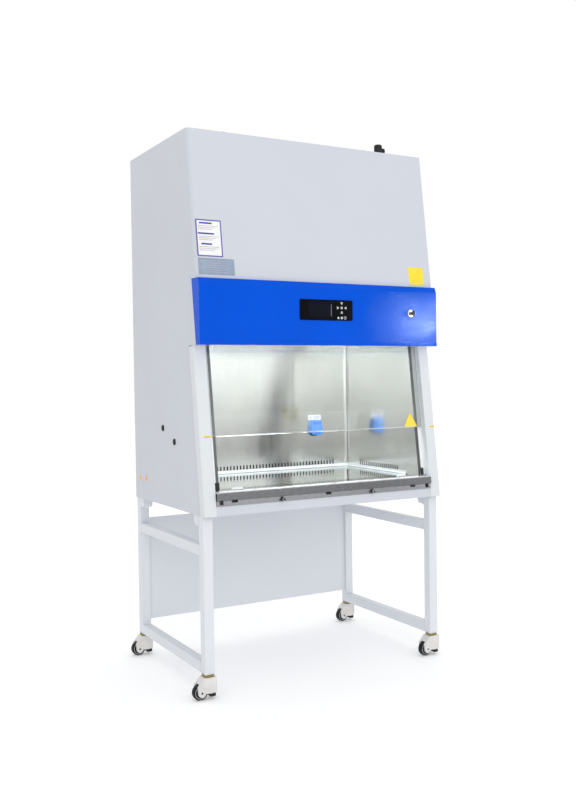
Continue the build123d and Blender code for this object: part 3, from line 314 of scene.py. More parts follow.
def change_past(material, step, socket, value):
    """Past the step a socket of the shader takes another value, over what feeds it now."""
    tree = material.node_tree
    shader = tree.nodes["Principled BSDF"]
    mix = tree.nodes.new("ShaderNodeMix")
    mix.data_type = "RGBA" if socket == "Base Color" else "FLOAT"
    slots = (6, 7, 2) if socket == "Base Color" else (2, 3, 0)
    target = shader.inputs[socket]
    if target.is_linked:
        tree.links.new(target.links[0].from_socket, mix.inputs[slots[0]])
    else:
        mix.inputs[slots[0]].default_value = target.default_value
    mix.inputs[slots[1]].default_value = value
    tree.links.new(step, mix.inputs["Factor"])
    tree.links.new(mix.outputs[slots[2]], target)


WORK_LEVEL = UNDERSIDE + 0.087
# Above the work level the upstand is painted near-white and matt: a painted highlight of the cove.
cove_highlight_step = add_step(tray_steel, "Z", WORK_LEVEL + 0.0012, 0.0015)
for socket, value in (("Base Color", (0.93, 0.94, 0.94, 1)), ("Roughness", 0.6), ("Metallic", 0.15)):
    change_past(tray_steel, cove_highlight_step, socket, value)
# The armrest's upper face is painted darker than the flat below: painted shade.
nose_shade_step = add_step(armrest_steel, "Z", WORK_LEVEL - 0.033, 0.002)
change_past(armrest_steel, nose_shade_step, "Base Color", (0.27, 0.272, 0.285, 1))
# The very top edge is painted near-white and less metallic: a painted highlight.
top_highlight_step = add_step(armrest_steel, "Z", WORK_LEVEL - 0.0012, 0.001)
change_past(armrest_steel, top_highlight_step, "Base Color", (0.9, 0.9, 0.9, 1))
change_past(armrest_steel, top_highlight_step, "Metallic", 0.2)
# Outside the glass channel the guide is painted near-white and matt: painted light on faces in shade.
guide_light_step = add_step(guide_aluminium, "X", 0.4815, 0.0005, CENTRE_X)
change_past(guide_aluminium, guide_light_step, "Base Color", (0.88, 0.90, 0.91, 1))
change_past(guide_aluminium, guide_light_step, "Metallic", 0.0)
print("steps on", tray_steel.name, armrest_steel.name, guide_aluminium.name)

# %% [markdown]
# ## Plastic, rubber and filter paper
# Moulded plastic has a faint spark-eroded grain. Rubber is duller and slightly dusty. Filter
# media is fibrous and nearly white.


# %% Moulded plastic and rubber
def moulding(name, colour, roughness, grain_size=0.0009, depth=0.00001, shine=0.3):
    material, shader = start_finish(name, colour, roughness, Specular_IOR_Level=shine)
    vary_colour(material, shader, add_grain(material, 0.04), tint(colour, 0.93), tint(colour, 1.06))
    vary_roughness(material, shader, add_grain(material, 0.01), roughness - 0.05, roughness + 0.07)
    emboss(material, shader, add_grain(material, grain_size), depth)
    return material


ivory_moulding = moulding("ivory_moulding", (0.70, 0.685, 0.67), 0.38)
wheel_black = moulding("wheel_black", (0.010, 0.010, 0.012), 0.42, shine=0.15)
wheel_grey = moulding("wheel_grey", (0.34, 0.35, 0.36), 0.45)
rubber_black = moulding("rubber_black", (0.018, 0.018, 0.018), 0.62, 0.0012, 0.00003)
bezel_black = moulding("bezel_black", (0.003, 0.003, 0.004), 0.3, shine=0.04)
key_black = moulding("key_black", (0.006, 0.006, 0.008), 0.3, shine=0.1)
socket_white = moulding("socket_white", (0.78, 0.79, 0.78), 0.3)
flap_blue = moulding("flap_blue", (0.09, 0.31, 0.84), 0.25)
# Flat black for the strips behind the chamber's slots: painted shade.
slot_shade_black = moulding("slot_shade_black", (0.012, 0.013, 0.013), 0.8)
filter_paper = moulding("filter_paper", (0.82, 0.82, 0.79), 0.8, 0.0015, 0.0001)
print("mouldings:", ivory_moulding.name, rubber_black.name, filter_paper.name)

# %% [markdown]
# ## Glass and light
# The sash is laminated safety glass, so it is a clear dielectric with a trace of green. The lamp
# tubes glow through their phosphor. The display is a dark liquid crystal under a gloss window.


# %% Clear glass, lamp glass and display window
def clear_glass():
    material, shader = start_finish("clear_glass", (0.965, 0.985, 0.975), 0.0, IOR=1.45)
    shader.inputs["Transmission Weight"].default_value = 1.0
    vary_roughness(material, shader, add_grain(material, 0.15), 0.0, 0.008)
    return material


def lamp_glass():
    material, shader = start_finish("lamp_glass", (0.95, 0.96, 1.0), 0.35)
    shader.inputs["Emission Color"].default_value = (0.93, 0.97, 1.0, 1)
    shader.inputs["Emission Strength"].default_value = 36.0
    vary_roughness(material, shader, add_grain(material, 0.02), 0.3, 0.45)
    return material


def display_window():
    material, shader = start_finish("display_window", (0.003, 0.004, 0.007), 0.12, Specular_IOR_Level=0.06)
    grain = add_grain(material, 0.01)
    vary_colour(material, shader, grain, (0.002, 0.003, 0.005), (0.004, 0.005, 0.008))
    emboss(material, shader, add_grain(material, 0.0006), 0.000002)
    return material


sash_glass = clear_glass()
lamp_glow = lamp_glass()
display_dark = display_window()
print("glasses:", sash_glass.name, lamp_glow.name, display_dark.name)

# %% [markdown]
# ## Dress the solids
# A solid whose shape is right keeps its mesh, and only its material slots are filled. The list
# below pairs each finish with the nodes that wear it.

# %% Give every node its finish
WORN_BY = [
    (casing_white, ["base_pan", "left_side_panel", "right_side_panel"]),
    (casing_white, ["back_panel", "top_panel", "front_cover"]),
    (post_white, ["left_front_post", "right_front_post"]),
    (stand_white, ["stand_left_frame", "stand_right_frame", "stand_back_sheet", "stand_brackets"]),
    (fascia_blue, ["control_fascia"]),
    (liner_steel, ["work_liner", "diffuser_plate"]),
    (tray_steel, ["work_tray", "front_grille"]),
    (armrest_steel, ["armrest"]),
    (guide_aluminium, ["sash_guides", "sash_carrier"]),
    (zinc_steel, ["bracket_bolts", "thumb_screws", "drive_shaft", "blower_housing", "blower_impeller"]),
    (yellow_zinc, ["caster_races"]),
    (polished_chrome, ["key_switch_body"]),
    (dark_steel, ["key_barrel", "power_key"]),
    (rubber_black, ["drive_belts", "service_plugs"]),
    (bezel_black, ["display_bezel"]),
    (socket_white, ["light_fitting", "idler_pulleys"]),
    (flap_blue, ["socket_cover", "socket_body"]),
    (filter_paper, ["clean_air_filters"]),
    (sash_glass, ["sash_glass"]),
    (lamp_glow, ["lamp_tubes"]),
    (display_dark, ["display_screen"]),
]
CORNERS = ["front_left", "front_right", "rear_left", "rear_right"]
KEYS = ["key_up", "key_left", "key_centre", "key_right", "key_down", "key_lamp", "key_fan", "key_power"]
for finish, part in ((ivory_moulding, "fork"), (wheel_black, "wheel"), (rubber_black, "pad")):
    WORN_BY.append((finish, ["caster_" + part + "_" + corner for corner in CORNERS]))
WORN_BY.append((key_black, KEYS))


def wear(node, material):
    """Fill all the material slots of a node with one finish."""
    mesh = nodes[node].data
    mesh.materials.clear()
    mesh.materials.append(material)


dressed = set()
for material, names in WORN_BY:
    for name in names:
        wear(name, material)
        dressed.add(name)
print("dressed", len(dressed), "of", len(nodes), "bare:", sorted(set(nodes) - dressed))

# %% [markdown]
# ## Pieces drawn flat
# Labels, marks and symbols are thin plates. Each is drawn flat as a grid face with its corners
# rounded by a vertex bevel, lifted to its thickness by an extrusion, and carried to its plane.
# Several plates can share one mesh, such as a label and the bars printed on it.


# %% Helpers for thin plates
def add_mesh(mesh, small, finish_index=None):
    """Add a small bmesh to a larger one, with one of the piece's finishes or with its own."""
    if finish_index is not None:
        for face in small.faces:
            face.material_index = finish_index
    carrier = bpy.data.meshes.new("carrier")
    small.to_mesh(carrier)
    small.free()
    mesh.from_mesh(carrier)
    bpy.data.meshes.remove(carrier)


def lift(mesh, faces, thick):
    """Extrude flat faces upwards and keep the flat ones as the back."""
    raised = bmesh.ops.extrude_face_region(mesh, geom=faces, use_keep_orig=True)
    tops = [item for item in raised["geom"] if isinstance(item, bmesh.types.BMVert)]
    bmesh.ops.translate(mesh, verts=tops, vec=(0, 0, thick))
    bmesh.ops.recalc_face_normals(mesh, faces=mesh.faces)


def add_plate(mesh, width, height, centre, base, thick, finish_index=0, corner=0.0):
    """A rounded plate in the flat plane, from height base to base + thick."""
    plate = bmesh.new()
    place = Matrix.Translation((centre[0], centre[1], base))
    place = place @ Matrix.Diagonal((width / 2, height / 2, 1, 1))
    made = bmesh.ops.create_grid(plate, x_segments=1, y_segments=1, size=1.0, matrix=place)
    if corner > 0:
        bmesh.ops.bevel(plate, geom=made["verts"], offset=corner, segments=4, profile=0.5,
                        affect="VERTICES", material=-1)
    lift(plate, plate.faces[:], thick)
    add_mesh(mesh, plate, finish_index)


def add_disc(mesh, sides, radius, centre, base, thick, finish_index=0, turn=0.0):
    """A flat disc, or a triangle if it has three sides, standing on height base."""
    disc = bmesh.new()
    place = Matrix.Translation((centre[0], centre[1], base)) @ Matrix.Rotation(turn, 4, "Z")
    bmesh.ops.create_circle(disc, cap_ends=True, segments=sides, radius=radius, matrix=place)
    lift(disc, disc.faces[:], thick)
    add_mesh(mesh, disc, finish_index)


def finish_piece(mesh, name, materials, place, body):
    """Turn a bmesh into a piece on a body, with its place in its mesh."""
    bmesh.ops.transform(mesh, matrix=place, verts=mesh.verts)
    data = bpy.data.meshes.new(name)
    mesh.to_mesh(data)
    mesh.free()
    for material in materials:
        data.materials.append(material)
    piece = bpy.data.objects.new(name, data)
    bpy.context.scene.collection.objects.link(piece)
    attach(piece, body)
    return piece


print("plate helpers ready")

# %% [markdown]
# ## Stickers
# A new cabinet carries a handling label and a plain yellow square on its cover, a grey plate under
# the label, yellow height marks on both posts and a yellow triangle on the glass. They stay bare
# or carry plain bars where a maker would print. Vinyl is a little glossier than the paint round it.

# %% Vinyl finishes
vinyl_white = moulding("vinyl_white", (0.84, 0.84, 0.86), 0.3)
vinyl_violet = moulding("vinyl_violet", (0.12, 0.11, 0.40), 0.3)
vinyl_navy = moulding("vinyl_navy", (0.05, 0.06, 0.28), 0.3)
vinyl_grey = moulding("vinyl_grey", (0.28, 0.345, 0.455), 0.3)
vinyl_line = moulding("vinyl_line", (0.45, 0.45, 0.5), 0.35)
vinyl_yellow = moulding("vinyl_yellow", (0.90, 0.71, 0.03), 0.28)
vinyl_orange = moulding("vinyl_orange", (0.90, 0.40, 0.03), 0.28)
STICKER = 0.00025

# %% Handling label on the cover
label = bmesh.new()
LABEL_WIDTH, LABEL_HEIGHT = 0.105, 0.142
add_plate(label, LABEL_WIDTH, LABEL_HEIGHT, (0, 0), 0, STICKER, 0, 0.003)
add_plate(label, LABEL_WIDTH - 0.010, LABEL_HEIGHT - 0.010, (0, 0), STICKER, 0.00008, 1, 0.002)
BAR_TOP = LABEL_HEIGHT / 2 - 0.014
for row, wide in enumerate((0.052, 0.066, 0.044)):
    add_plate(label, wide, 0.006, (-0.012, BAR_TOP - row * 0.040), 2 * STICKER, 0.00006, 2, 0.0006)
    for line in range(3):
        span = 0.082 - 0.012 * line
        place = (-0.002 - 0.006 * line, BAR_TOP - row * 0.040 - 0.011 - line * 0.0065)
        add_plate(label, span, 0.0022, place, 2 * STICKER, 0.00006, 3, 0.0004)
finish_piece(label, "handling_label", [vinyl_violet, vinyl_white, vinyl_navy, vinyl_line],
             front_plane(0.0635, 1.041, COVER_FORWARD), "cabinet")

# %% Grey plate and yellow square on the cover
plate = bmesh.new()
add_plate(plate, 0.148, 0.063, (0, 0), 0, 0.0006, 0, 0.002)
for row in range(6):
    add_plate(plate, 0.128 - 0.011 * (row % 3), 0.0016, (-0.004, 0.021 - row * 0.0084), 0.0006, 0.00006, 1)
finish_piece(plate, "grey_plate", [vinyl_grey, vinyl_line], front_plane(0.086, 0.9335, COVER_FORWARD),
             "cabinet")
square = bmesh.new()
add_plate(square, 0.075, 0.074, (0, 0), 0, STICKER, 0, 0.002)
finish_piece(square, "yellow_square", [vinyl_yellow], front_plane(1.0145, 0.937, COVER_FORWARD), "cabinet")

# %% Height marks on the posts
for side, middle, wide in (("left", 0.0325, 0.037), ("right", 1.0845, 0.031)):
    mark = bmesh.new()
    add_plate(mark, wide, 0.0062, (0, 0), 0, STICKER, 0, 0.0008)
    add_plate(mark, wide * 0.6, 0.0016, (0, 0), STICKER, 0.00006, 1)
    finish_piece(mark, "height_mark_" + side, [vinyl_yellow, rubber_black], front_plane(middle, 0.296),
                 "cabinet")


# %% [markdown]
# A triangle is a circle of three segments, so `create_circle` draws it, and an extrusion makes it a
# sticker. One sits on the glass and rides with the sash; two sit on the left side.


# %% Triangles
def triangle_sticker(name, material, width, place, body):
    mark = bmesh.new()
    add_disc(mark, 3, width / math.sqrt(3), (0, 0), 0, STICKER)
    return finish_piece(mark, name, [material], place, body)


GLASS_BACK = 0.0265
triangle_sticker("glass_triangle", vinyl_yellow, 0.071, front_plane(0.994, 0.316, -GLASS_BACK + 0.0001),
                 "sash")
for number, (back, height) in enumerate(((0.058, 0.091), (0.131, 0.093))):
    triangle_sticker("side_triangle_" + str(number), vinyl_orange, 0.03, left_side_plane(back, height),
                     "cabinet")
print("stickers placed")

# %% [markdown]
# ## Sash edge and socket label
# The ground lower edge of the glass shows as a fine pale line, a pale strip laid on the glass as a
# painted highlight. A small white label sits above the socket, and a black block under its flap is
# painted shade of the flap's lip.

# %% Painted highlight on the ground edge of the sash
# Pale colour of the strip on the glass's lower edge: a painted highlight.
ground_edge_highlight = moulding("ground_edge_highlight", (0.50, 0.54, 0.53), 0.5)
edge = bmesh.new()
add_plate(edge, 0.994, 0.0024, (0, 0), 0, 0.0003, 0)
finish_piece(edge, "ground_edge", [ground_edge_highlight], front_plane(HALF_WIDTH, 0.2975, -GLASS_BACK + 0.0001),
             "sash")

# %% Socket label and painted shade under the flap
SOCKET_X = HALF_WIDTH + 0.295
REAR_WALL = 0.118


def rear_wall_plane(x, height, forward=0.0):
    """Matrix of a spot on the chamber's rear wall, seen from the operator's side."""
    return upright_plane(Vector((CENTRE_X - HALF_WIDTH + x, BACK_Y - REAR_WALL - forward,
                                 UNDERSIDE + height)))


tag = bmesh.new()
add_plate(tag, 0.072, 0.025, (0, 0), 0, 0.0008, 0, 0.002)
add_disc(tag, 24, 0.0042, (-0.02, -0.001), 0.0008, 0.0001, 1)
for row in range(2):
    add_plate(tag, 0.03 - 0.006 * row, 0.002, (0.01, 0.003 - row * 0.005), 0.0008, 0.0001, 2)
finish_piece(tag, "socket_label", [vinyl_white, vinyl_yellow, vinyl_line],
             rear_wall_plane(SOCKET_X - 0.004, 0.324), "cabinet")
# A black block under the socket's flap: painted shade of the flap's lip.
flap_shade = bmesh.new()
add_plate(flap_shade, 0.024, 0.010, (0, 0), 0.001, 0.012, 0, 0.003)
finish_piece(flap_shade, "socket_flap_shade", [rubber_black], rear_wall_plane(SOCKET_X - 0.006, 0.2435), "cabinet")
print("sash edge and socket trim placed")

# %% [markdown]
# The slots at the foot of the chamber open into the return duct. A black strip stands just behind
# each row of slots, painted shade in place of the duct's dark, so that the slots look deep and dark.

# %% Painted shade behind the slots
SLOT_LEVEL = 0.110
SLOT_SHADE_HEIGHT = 0.030
CHAMBER_SIDE = 0.470
SIDE_ROW = 0.385
# Black strips behind the slots: painted shade in place of the duct's dark.
slot_shade = bmesh.new()
add_plate(slot_shade, 0.83, SLOT_SHADE_HEIGHT, (0, 0), 0, 0.0008, 0)
finish_piece(slot_shade, "rear_felt", [slot_shade_black], rear_wall_plane(HALF_WIDTH, SLOT_LEVEL, -0.0045), "cabinet")
for side, sign in (("left", -1), ("right", 1)):
    slot_shade = bmesh.new()
    add_plate(slot_shade, 0.335, SLOT_SHADE_HEIGHT, (0, 0), 0, 0.0008, 0)
    place = Vector((CENTRE_X + sign * (CHAMBER_SIDE + 0.0045), BACK_Y - SIDE_ROW, UNDERSIDE + SLOT_LEVEL))
    turn = plane_matrix(Vector((0, -sign, 0)), Vector((0, 0, 1)), Vector((-sign, 0, 0)), place)
    finish_piece(slot_shade, side + "_felt", [slot_shade_black], turn, "cabinet")
print("felt strips at height", SLOT_LEVEL)

# %% [markdown]
# ## Symbols on the keys
# The keys carry printed symbols: wedges that point to the centre, a dot, a lamp, a fan and a power
# ring. Each is a plate a tenth of a millimetre thick, and rides on its own key so that it moves
# when the key is pressed.

# %% Key symbols
symbol_grey = moulding("symbol_grey", (0.52, 0.54, 0.57), 0.4)
symbol_white = moulding("symbol_white", (0.85, 0.87, 0.88), 0.4)
KEY_FACE = 0.0038
PRINT = 0.0001
CROSS_X, CROSS_HEIGHT, CROSS_PITCH = 0.620, 0.7905, 0.019
ROW_HEIGHT, ROW_PITCH = CROSS_HEIGHT - 0.040, 0.016


def add_ring(mesh, outer, inner, centre, base, thick, finish_index=0):
    """A flat ring: a disc whose inset middle is taken out."""
    ring = bmesh.new()
    place = Matrix.Translation((centre[0], centre[1], base))
    bmesh.ops.create_circle(ring, cap_ends=True, segments=32, radius=outer, matrix=place)
    middle = ring.faces[:]
    bmesh.ops.inset_region(ring, faces=middle, thickness=outer - inner, use_boundary=True)
    bmesh.ops.delete(ring, geom=middle, context="FACES_ONLY")
    lift(ring, ring.faces[:], thick)
    add_mesh(mesh, ring, finish_index)


def key_symbol(node, x, height, draw):
    """Draw a symbol about the middle of a key and let it ride on the key's body."""
    symbol = bmesh.new()
    draw(symbol)
    finish_piece(symbol, node + "_symbol", [symbol_grey, symbol_white], fascia_plane(x, height, KEY_FACE),
                 node + "_body")


def draw_wedge(turn):
    """A wedge whose point is turned by an angle, with a dot near the point."""
    def draw(symbol):
        add_disc(symbol, 3, 0.0070, (0, 0), 0, PRINT, 0, turn)
        dot = Matrix.Rotation(turn, 2) @ Vector((0, 0.003))
        add_disc(symbol, 16, 0.0019, dot, PRINT, PRINT, 1)
    return draw


def draw_dot(symbol):
    for turn in (math.pi / 4, -math.pi / 4):
        bar = bmesh.new()
        add_plate(bar, 0.013, 0.0026, (0, 0), 0, PRINT, 0)
        bmesh.ops.rotate(bar, verts=bar.verts, cent=(0, 0, 0), matrix=Matrix.Rotation(turn, 3, "Z"))
        add_mesh(symbol, bar, 0)
    add_disc(symbol, 20, 0.0030, (0, 0), PRINT, PRINT, 1)


def draw_lamp(symbol):
    add_disc(symbol, 20, 0.0032, (0, 0.0008), 0, PRINT, 1)
    add_disc(symbol, 3, 0.0062, (0, -0.001), 0, PRINT / 2, 0)


def draw_fan(symbol):
    add_disc(symbol, 20, 0.0026, (0, 0), 0, 2 * PRINT, 1)
    for quarter in range(4):
        spot = Matrix.Rotation(quarter * math.pi / 2 + math.pi / 4, 2) @ Vector((0, 0.0042))
        add_disc(symbol, 12, 0.0022, spot, 0, PRINT, 0)


def draw_power(symbol):
    add_ring(symbol, 0.0062, 0.0044, (0, 0), 0, PRINT)
    add_plate(symbol, 0.0014, 0.005, (0, 0.003), 0, 2 * PRINT, 0)


key_symbol("key_up", CROSS_X, CROSS_HEIGHT + CROSS_PITCH, draw_wedge(math.pi))
key_symbol("key_down", CROSS_X, CROSS_HEIGHT - CROSS_PITCH, draw_wedge(0))
key_symbol("key_left", CROSS_X - CROSS_PITCH, CROSS_HEIGHT, draw_wedge(-math.pi / 2))
key_symbol("key_right", CROSS_X + CROSS_PITCH, CROSS_HEIGHT, draw_wedge(math.pi / 2))
key_symbol("key_centre", CROSS_X, CROSS_HEIGHT, draw_dot)
key_symbol("key_lamp", CROSS_X - ROW_PITCH, ROW_HEIGHT, draw_lamp)
key_symbol("key_fan", CROSS_X, ROW_HEIGHT, draw_fan)
key_symbol("key_power", CROSS_X + ROW_PITCH, ROW_HEIGHT, draw_power)

# %% [markdown]
# The display is off, but its liquid crystal still shows: a slightly lighter pane behind the window,
# with a pale strip on its right, a painted glint.

# %% Liquid crystal pane
pane_glow = moulding("pane_glow", (0.005, 0.006, 0.013), 0.3, shine=0.04)
# Pale strip colour for the pane's right edge: a painted glint.
pane_glint = moulding("pane_glint", (0.10, 0.10, 0.16), 0.3)
pane = bmesh.new()
add_plate(pane, 0.101, 0.054, (-0.002, 0), 0, 0.0002, 0, 0.001)
add_plate(pane, 0.0045, 0.048, (0.052, 0), 0, 0.0003, 1, 0.0005)
finish_piece(pane, "display_pane", [pane_glow, pane_glint], fascia_plane(0.520, 0.7805, 0.0021), "cabinet")
print("keys and display drawn")

# %% [markdown]
# ## Thumb screws
# The armrest is held by two knurled screws. A knurl is two crossing families of grooves; here the
# side of a 36-sided drum is cut into rows and every second corner is drawn in, which leaves small
# raised diamonds. The head is dark, the turned end face is bright and has a centre hole.

# %% Knurled screws in place of the plain ones
SCREW_RADIUS, SCREW_REACH = 0.009, 0.014
KNURLS, ROWS = 36, 6


def knurled_screw():
    """A screw along +Z with its seat at 0: shank, knurled drum and a hollow end face."""
    head = bmesh.new()
    bmesh.ops.create_cone(head, cap_ends=True, segments=16, radius1=0.003, radius2=0.003, depth=0.012,
                          matrix=Matrix.Translation((0, 0, -0.006)))
    drum = bmesh.new()
    bmesh.ops.create_circle(drum, cap_ends=True, segments=KNURLS, radius=SCREW_RADIUS)
    cap = drum.faces[:]
    for row in range(1, ROWS + 1):
        raised = bmesh.ops.extrude_face_region(drum, geom=cap, use_keep_orig=row == 1)
        cap = [item for item in raised["geom"] if isinstance(item, bmesh.types.BMFace)]
        bmesh.ops.translate(drum, verts=cap[0].verts, vec=(0, 0, SCREW_REACH / ROWS))
        if row < ROWS:
            for number, vert in enumerate(cap[0].verts):
                if (number + row) % 2:
                    vert.co.xy *= 0.92
    bmesh.ops.inset_region(drum, faces=cap, thickness=0.0010)
    bmesh.ops.translate(drum, verts=cap[0].verts, vec=(0, 0, 0.0007))
    bmesh.ops.inset_region(drum, faces=cap, thickness=0.0042)
    bmesh.ops.translate(drum, verts=cap[0].verts, vec=(0, 0, -0.002))
    bmesh.ops.recalc_face_normals(drum, faces=drum.faces)
    add_mesh(head, drum)
    for face in head.faces:
        face.material_index = int(face.calc_center_median().z > SCREW_REACH and len(face.verts) == 4)
    return head


screw_low, screw_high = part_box("thumb_screws")
screws = bmesh.new()
for x in (screw_low.x + SCREW_RADIUS, screw_high.x - SCREW_RADIUS):
    head = knurled_screw()
    place = Vector((x, screw_low.y + SCREW_REACH, (screw_low.z + screw_high.z) / 2))
    bmesh.ops.transform(head, verts=head.verts, matrix=upright_plane(place))
    add_mesh(screws, head)
knurled = finish_piece(screws, "knurled_screws", [dark_steel, zinc_steel], Matrix.Identity(4), "cabinet")
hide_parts("thumb_screws")
print("screws:", len(knurled.data.polygons), "faces")

# %% [markdown]
# ## Small trim
# Black stop blocks close the feet of the sash guides. The caster wheels carry a pale grey ring on
# each side. Pan-head screws hold the rear cover, and two studs stand on the roof's front edge.

# %% Stop blocks, wheel rings, studs and cover screws
for side, x, wide in (("left", 0.063, 0.022), ("right", 2 * HALF_WIDTH - 0.0745, 0.008)):
    block = bmesh.new()
    add_plate(block, wide, 0.030, (0, 0), 0, 0.010, 0, 0.002)
    finish_piece(block, "guide_foot_" + side, [rubber_black], front_plane(x, 0.1065, -0.0225), "cabinet")

WHEEL_HALF = 0.012
RING_OUTER, RING_INNER, RING_THICK = 0.0245, 0.022, 0.0004
for corner in CORNERS:
    low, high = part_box("caster_wheel_" + corner)
    middle = (low + high) / 2
    rings = bmesh.new()
    for side in (-1, 1):
        band = bmesh.new()
        add_ring(band, RING_OUTER, RING_INNER, (0, 0), 0, RING_THICK)
        flank = Vector((middle.x, middle.y - side * WHEEL_HALF, middle.z))
        turn = plane_matrix(Vector((side, 0, 0)), Vector((0, 0, 1)), Vector((0, -side, 0)), flank)
        bmesh.ops.transform(band, verts=band.verts, matrix=turn)
        add_mesh(rings, band, 0)
    finish_piece(rings, "wheel_rings_" + corner, [wheel_grey], Matrix.Identity(4), "wheel_" + corner)


def add_pan_head(mesh, place, radius=0.0045):
    """A pan head: a low cone whose middle is sunk for the driver."""
    head = bmesh.new()
    bmesh.ops.create_cone(head, cap_ends=True, segments=16, radius1=radius, radius2=radius * 0.7,
                          depth=radius * 0.5, matrix=Matrix.Translation((0, 0, radius * 0.25)))
    top = max(head.faces, key=lambda face: face.calc_center_median().z)
    bmesh.ops.inset_region(head, faces=[top], thickness=radius * 0.35)
    bmesh.ops.translate(head, verts=top.verts, vec=(0, 0, -radius * 0.25))
    bmesh.ops.transform(head, verts=head.verts, matrix=place)
    add_mesh(mesh, head, 0)


def rear_plane(x, height):
    """Matrix of a spot on the rear cover, facing away from the operator."""
    place = Vector((CENTRE_X + x, BACK_Y, UNDERSIDE + height))
    return plane_matrix(Vector((-1, 0, 0)), Vector((0, 0, 1)), Vector((0, 1, 0)), place)


cover_screws = bmesh.new()
CASING_HEIGHT = 1.460
for number in range(7):
    height = 0.03 + number * (CASING_HEIGHT - 0.06) / 6
    for x in (0.015 - HALF_WIDTH, HALF_WIDTH - 0.015):
        add_pan_head(cover_screws, rear_plane(x, height))
for number in range(1, 5):
    x = -HALF_WIDTH + 2 * HALF_WIDTH * number / 5
    for height in (0.03, CASING_HEIGHT - 0.03):
        add_pan_head(cover_screws, rear_plane(x, height))
finish_piece(cover_screws, "cover_screws", [zinc_steel], Matrix.Identity(4), "cabinet")

studs = bmesh.new()
for x in (0.162, 0.808):
    place = Vector((CENTRE_X - HALF_WIDTH + x, BACK_Y - 0.605, UNDERSIDE + CASING_HEIGHT))
    add_pan_head(studs, Matrix.Translation(place), 0.009)
finish_piece(studs, "roof_studs", [zinc_steel], Matrix.Identity(4), "cabinet")
print("trim placed")

# %% [markdown]
# ## Studio
# The cabinet stands on a plain pale floor in even, soft light. A white surround gives the fill, a
# large softbox lights the front, and a grey card on the left shades the left side. A small box far
# to the right has a narrow beam, which the gloss coat reflects as a soft patch round the key.
#
# Bright steel looks like steel only where it has something to reflect. So a wide card that glows
# more with height stands in front of the cabinet, and a slim dim one leans across it. Nothing but
# reflections sees these two: they light no paint, cast no shadow and are out of the camera's sight.

# %% Floor, surround and softboxes
floor_mesh = bmesh.new()
bmesh.ops.create_grid(floor_mesh, x_segments=4, y_segments=4, size=20)
floor_data = bpy.data.meshes.new("studio_floor")
floor_mesh.to_mesh(floor_data)
floor_mesh.free()
studio_floor = bpy.data.objects.new("studio_floor", floor_data)
bpy.context.scene.collection.objects.link(studio_floor)
floor_paint, floor_shader = start_finish("floor_paint", (0.92, 0.92, 0.92), 0.7)
floor_shader.inputs["Emission Color"].default_value = (1, 1, 1, 1)
floor_shader.inputs["Emission Strength"].default_value = 0.16
emboss(floor_paint, floor_shader, add_grain(floor_paint, 0.004), 0.0001)
floor_data.materials.append(floor_paint)

surround = bpy.data.worlds.new("white_surround")
surround.use_nodes = True
surround.node_tree.nodes["Background"].inputs["Color"].default_value = (1, 1, 1, 1)
surround.node_tree.nodes["Background"].inputs["Strength"].default_value = 1.0
bpy.context.scene.world = surround
bpy.context.scene.view_settings.view_transform = "Standard"


def softbox(name, place, target, size, watts):
    light = bpy.data.lights.new(name, "AREA")
    light.size = size
    light.energy = watts
    lamp = bpy.data.objects.new(name, light)
    bpy.context.scene.collection.objects.link(lamp)
    lamp.location = place
    aim = Vector(target) - Vector(place)
    lamp.rotation_euler = aim.to_track_quat("-Z", "Y").to_euler()
    return lamp


def card(name, place, across, width, height, paint, turn=0.0):
    """An upright studio card, out of the camera's sight; turn leans it in its own plane."""
    sheet = bmesh.new()
    bmesh.ops.create_grid(sheet, x_segments=1, y_segments=1, size=0.5)
    bmesh.ops.scale(sheet, verts=sheet.verts, vec=(width, height, 1))
    bmesh.ops.rotate(sheet, verts=sheet.verts, cent=(0, 0, 0), matrix=Matrix.Rotation(turn, 3, "Z"))
    across = Vector(across)
    up = Vector((0, 0, 1))
    stand = plane_matrix(across, up, across.cross(up), Vector(place))
    bmesh.ops.transform(sheet, verts=sheet.verts, matrix=stand)
    data = bpy.data.meshes.new(name)
    sheet.to_mesh(data)
    sheet.free()
    board = bpy.data.objects.new(name, data)
    bpy.context.scene.collection.objects.link(board)
    data.materials.append(paint)
    board.visible_camera = False
    return board


def shade_card(name, shade):
    """Plain matt card paint with a faint mottle."""
    paint, shader = start_finish(name, (shade, shade, shade), 0.9, Specular_IOR_Level=0.0)
    vary_colour(paint, shader, add_grain(paint, 0.5), (shade * 0.9,) * 3, (shade * 1.1,) * 3)
    return paint


def glow_card(name, stops):
    """Card that glows more with height: pairs of height in metres and glow."""
    paint, shader = start_finish(name, (0, 0, 0), 0.9, Specular_IOR_Level=0.0)
    low, high = stops[0][0], stops[-1][0]
    rise = add_step(paint, "Z", low, high - low)
    ramp = paint.node_tree.nodes.new("ShaderNodeValToRGB")
    ramp.color_ramp.elements[0].color = (stops[0][1],) * 3 + (1,)
    ramp.color_ramp.elements[1].color = (stops[-1][1],) * 3 + (1,)
    for height, glow in stops[1:-1]:
        ramp.color_ramp.elements.new((height - low) / (high - low)).color = (glow, glow, glow, 1)
    paint.node_tree.links.new(rise, ramp.inputs["Fac"])
    paint.node_tree.links.new(ramp.outputs["Color"], shader.inputs["Emission Color"])
    shader.inputs["Emission Strength"].default_value = 1.0
    return paint


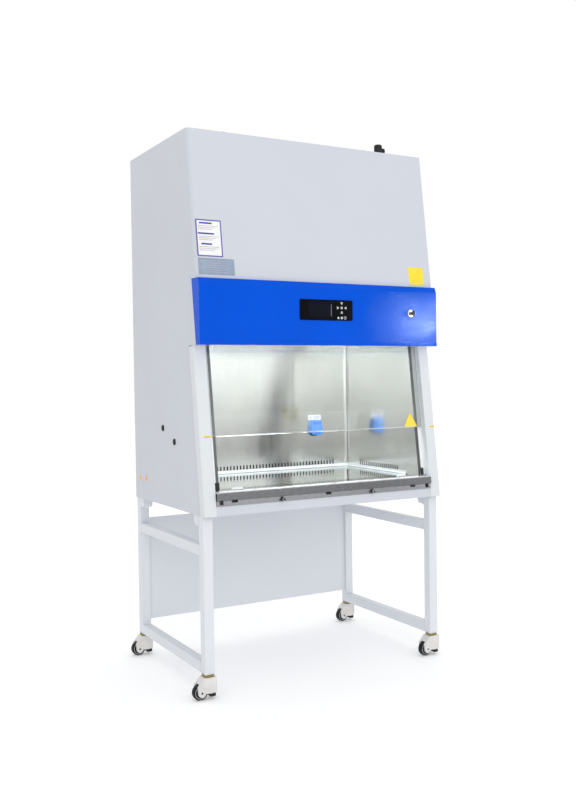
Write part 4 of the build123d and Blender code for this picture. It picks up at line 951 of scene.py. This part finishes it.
# %% Lights
GLINT_PLACE = (2.98, -3.5, 1.58)
GLINT_TARGET = (0.52, -0.34, 1.43)
GLINT_SIZE, GLINT_WATTS, GLINT_SPREAD = 0.25, 0.24, 13
FRONT_PLACE = (-1.2, -5.0, 2.6)
FRONT_TARGET = (0, 0, 1.2)
FRONT_SIZE, FRONT_WATTS = 2.0, 28

glint = softbox("glint_softbox", GLINT_PLACE, GLINT_TARGET, GLINT_SIZE, GLINT_WATTS)
glint.data.spread = math.radians(GLINT_SPREAD)
glint.visible_diffuse = False
softbox("front_softbox", FRONT_PLACE, FRONT_TARGET, FRONT_SIZE, FRONT_WATTS)

# %% Cards
SIDE_PLACE = (-3.4, 0.9, 1.2)
SIDE_WIDTH, SIDE_HEIGHT, SIDE_SHADE = 4.2, 2.4, 0.70
MIRROR_PLACE = (0.1, -2.2, 0.945)
MIRROR_WIDTH, MIRROR_HEIGHT = 4.8, 1.09
MIRROR_STOPS = ((0.40, 0.40), (0.70, 0.34), (0.92, 0.74), (1.12, 1.25), (1.46, 1.5))
STREAK_PLACE = (1.394, -2.15, 0.945)
STREAK_WIDTH, STREAK_HEIGHT, STREAK_LEAN = 0.17, 1.12, -16.3
STREAK_STOPS = ((0.40, 0.05), (1.0, 0.05), (1.35, 0.5), (1.46, 1.1))
RIGHTWARD = (1, 0, 0)
REARWARD = (0, 1, 0)

card("side_card", SIDE_PLACE, REARWARD, SIDE_WIDTH, SIDE_HEIGHT, shade_card("side_shade", SIDE_SHADE))
mirror_glow = glow_card("mirror_glow", MIRROR_STOPS)
mirror_card = card("mirror_card", MIRROR_PLACE, RIGHTWARD, MIRROR_WIDTH, MIRROR_HEIGHT, mirror_glow)
streak_glow = glow_card("streak_glow", STREAK_STOPS)
streak_card = card("streak_card", STREAK_PLACE, RIGHTWARD, STREAK_WIDTH, STREAK_HEIGHT, streak_glow,
                   math.radians(STREAK_LEAN))
for board in (mirror_card, streak_card):
    board.visible_diffuse = False
    board.visible_shadow = False
print("studio ready")
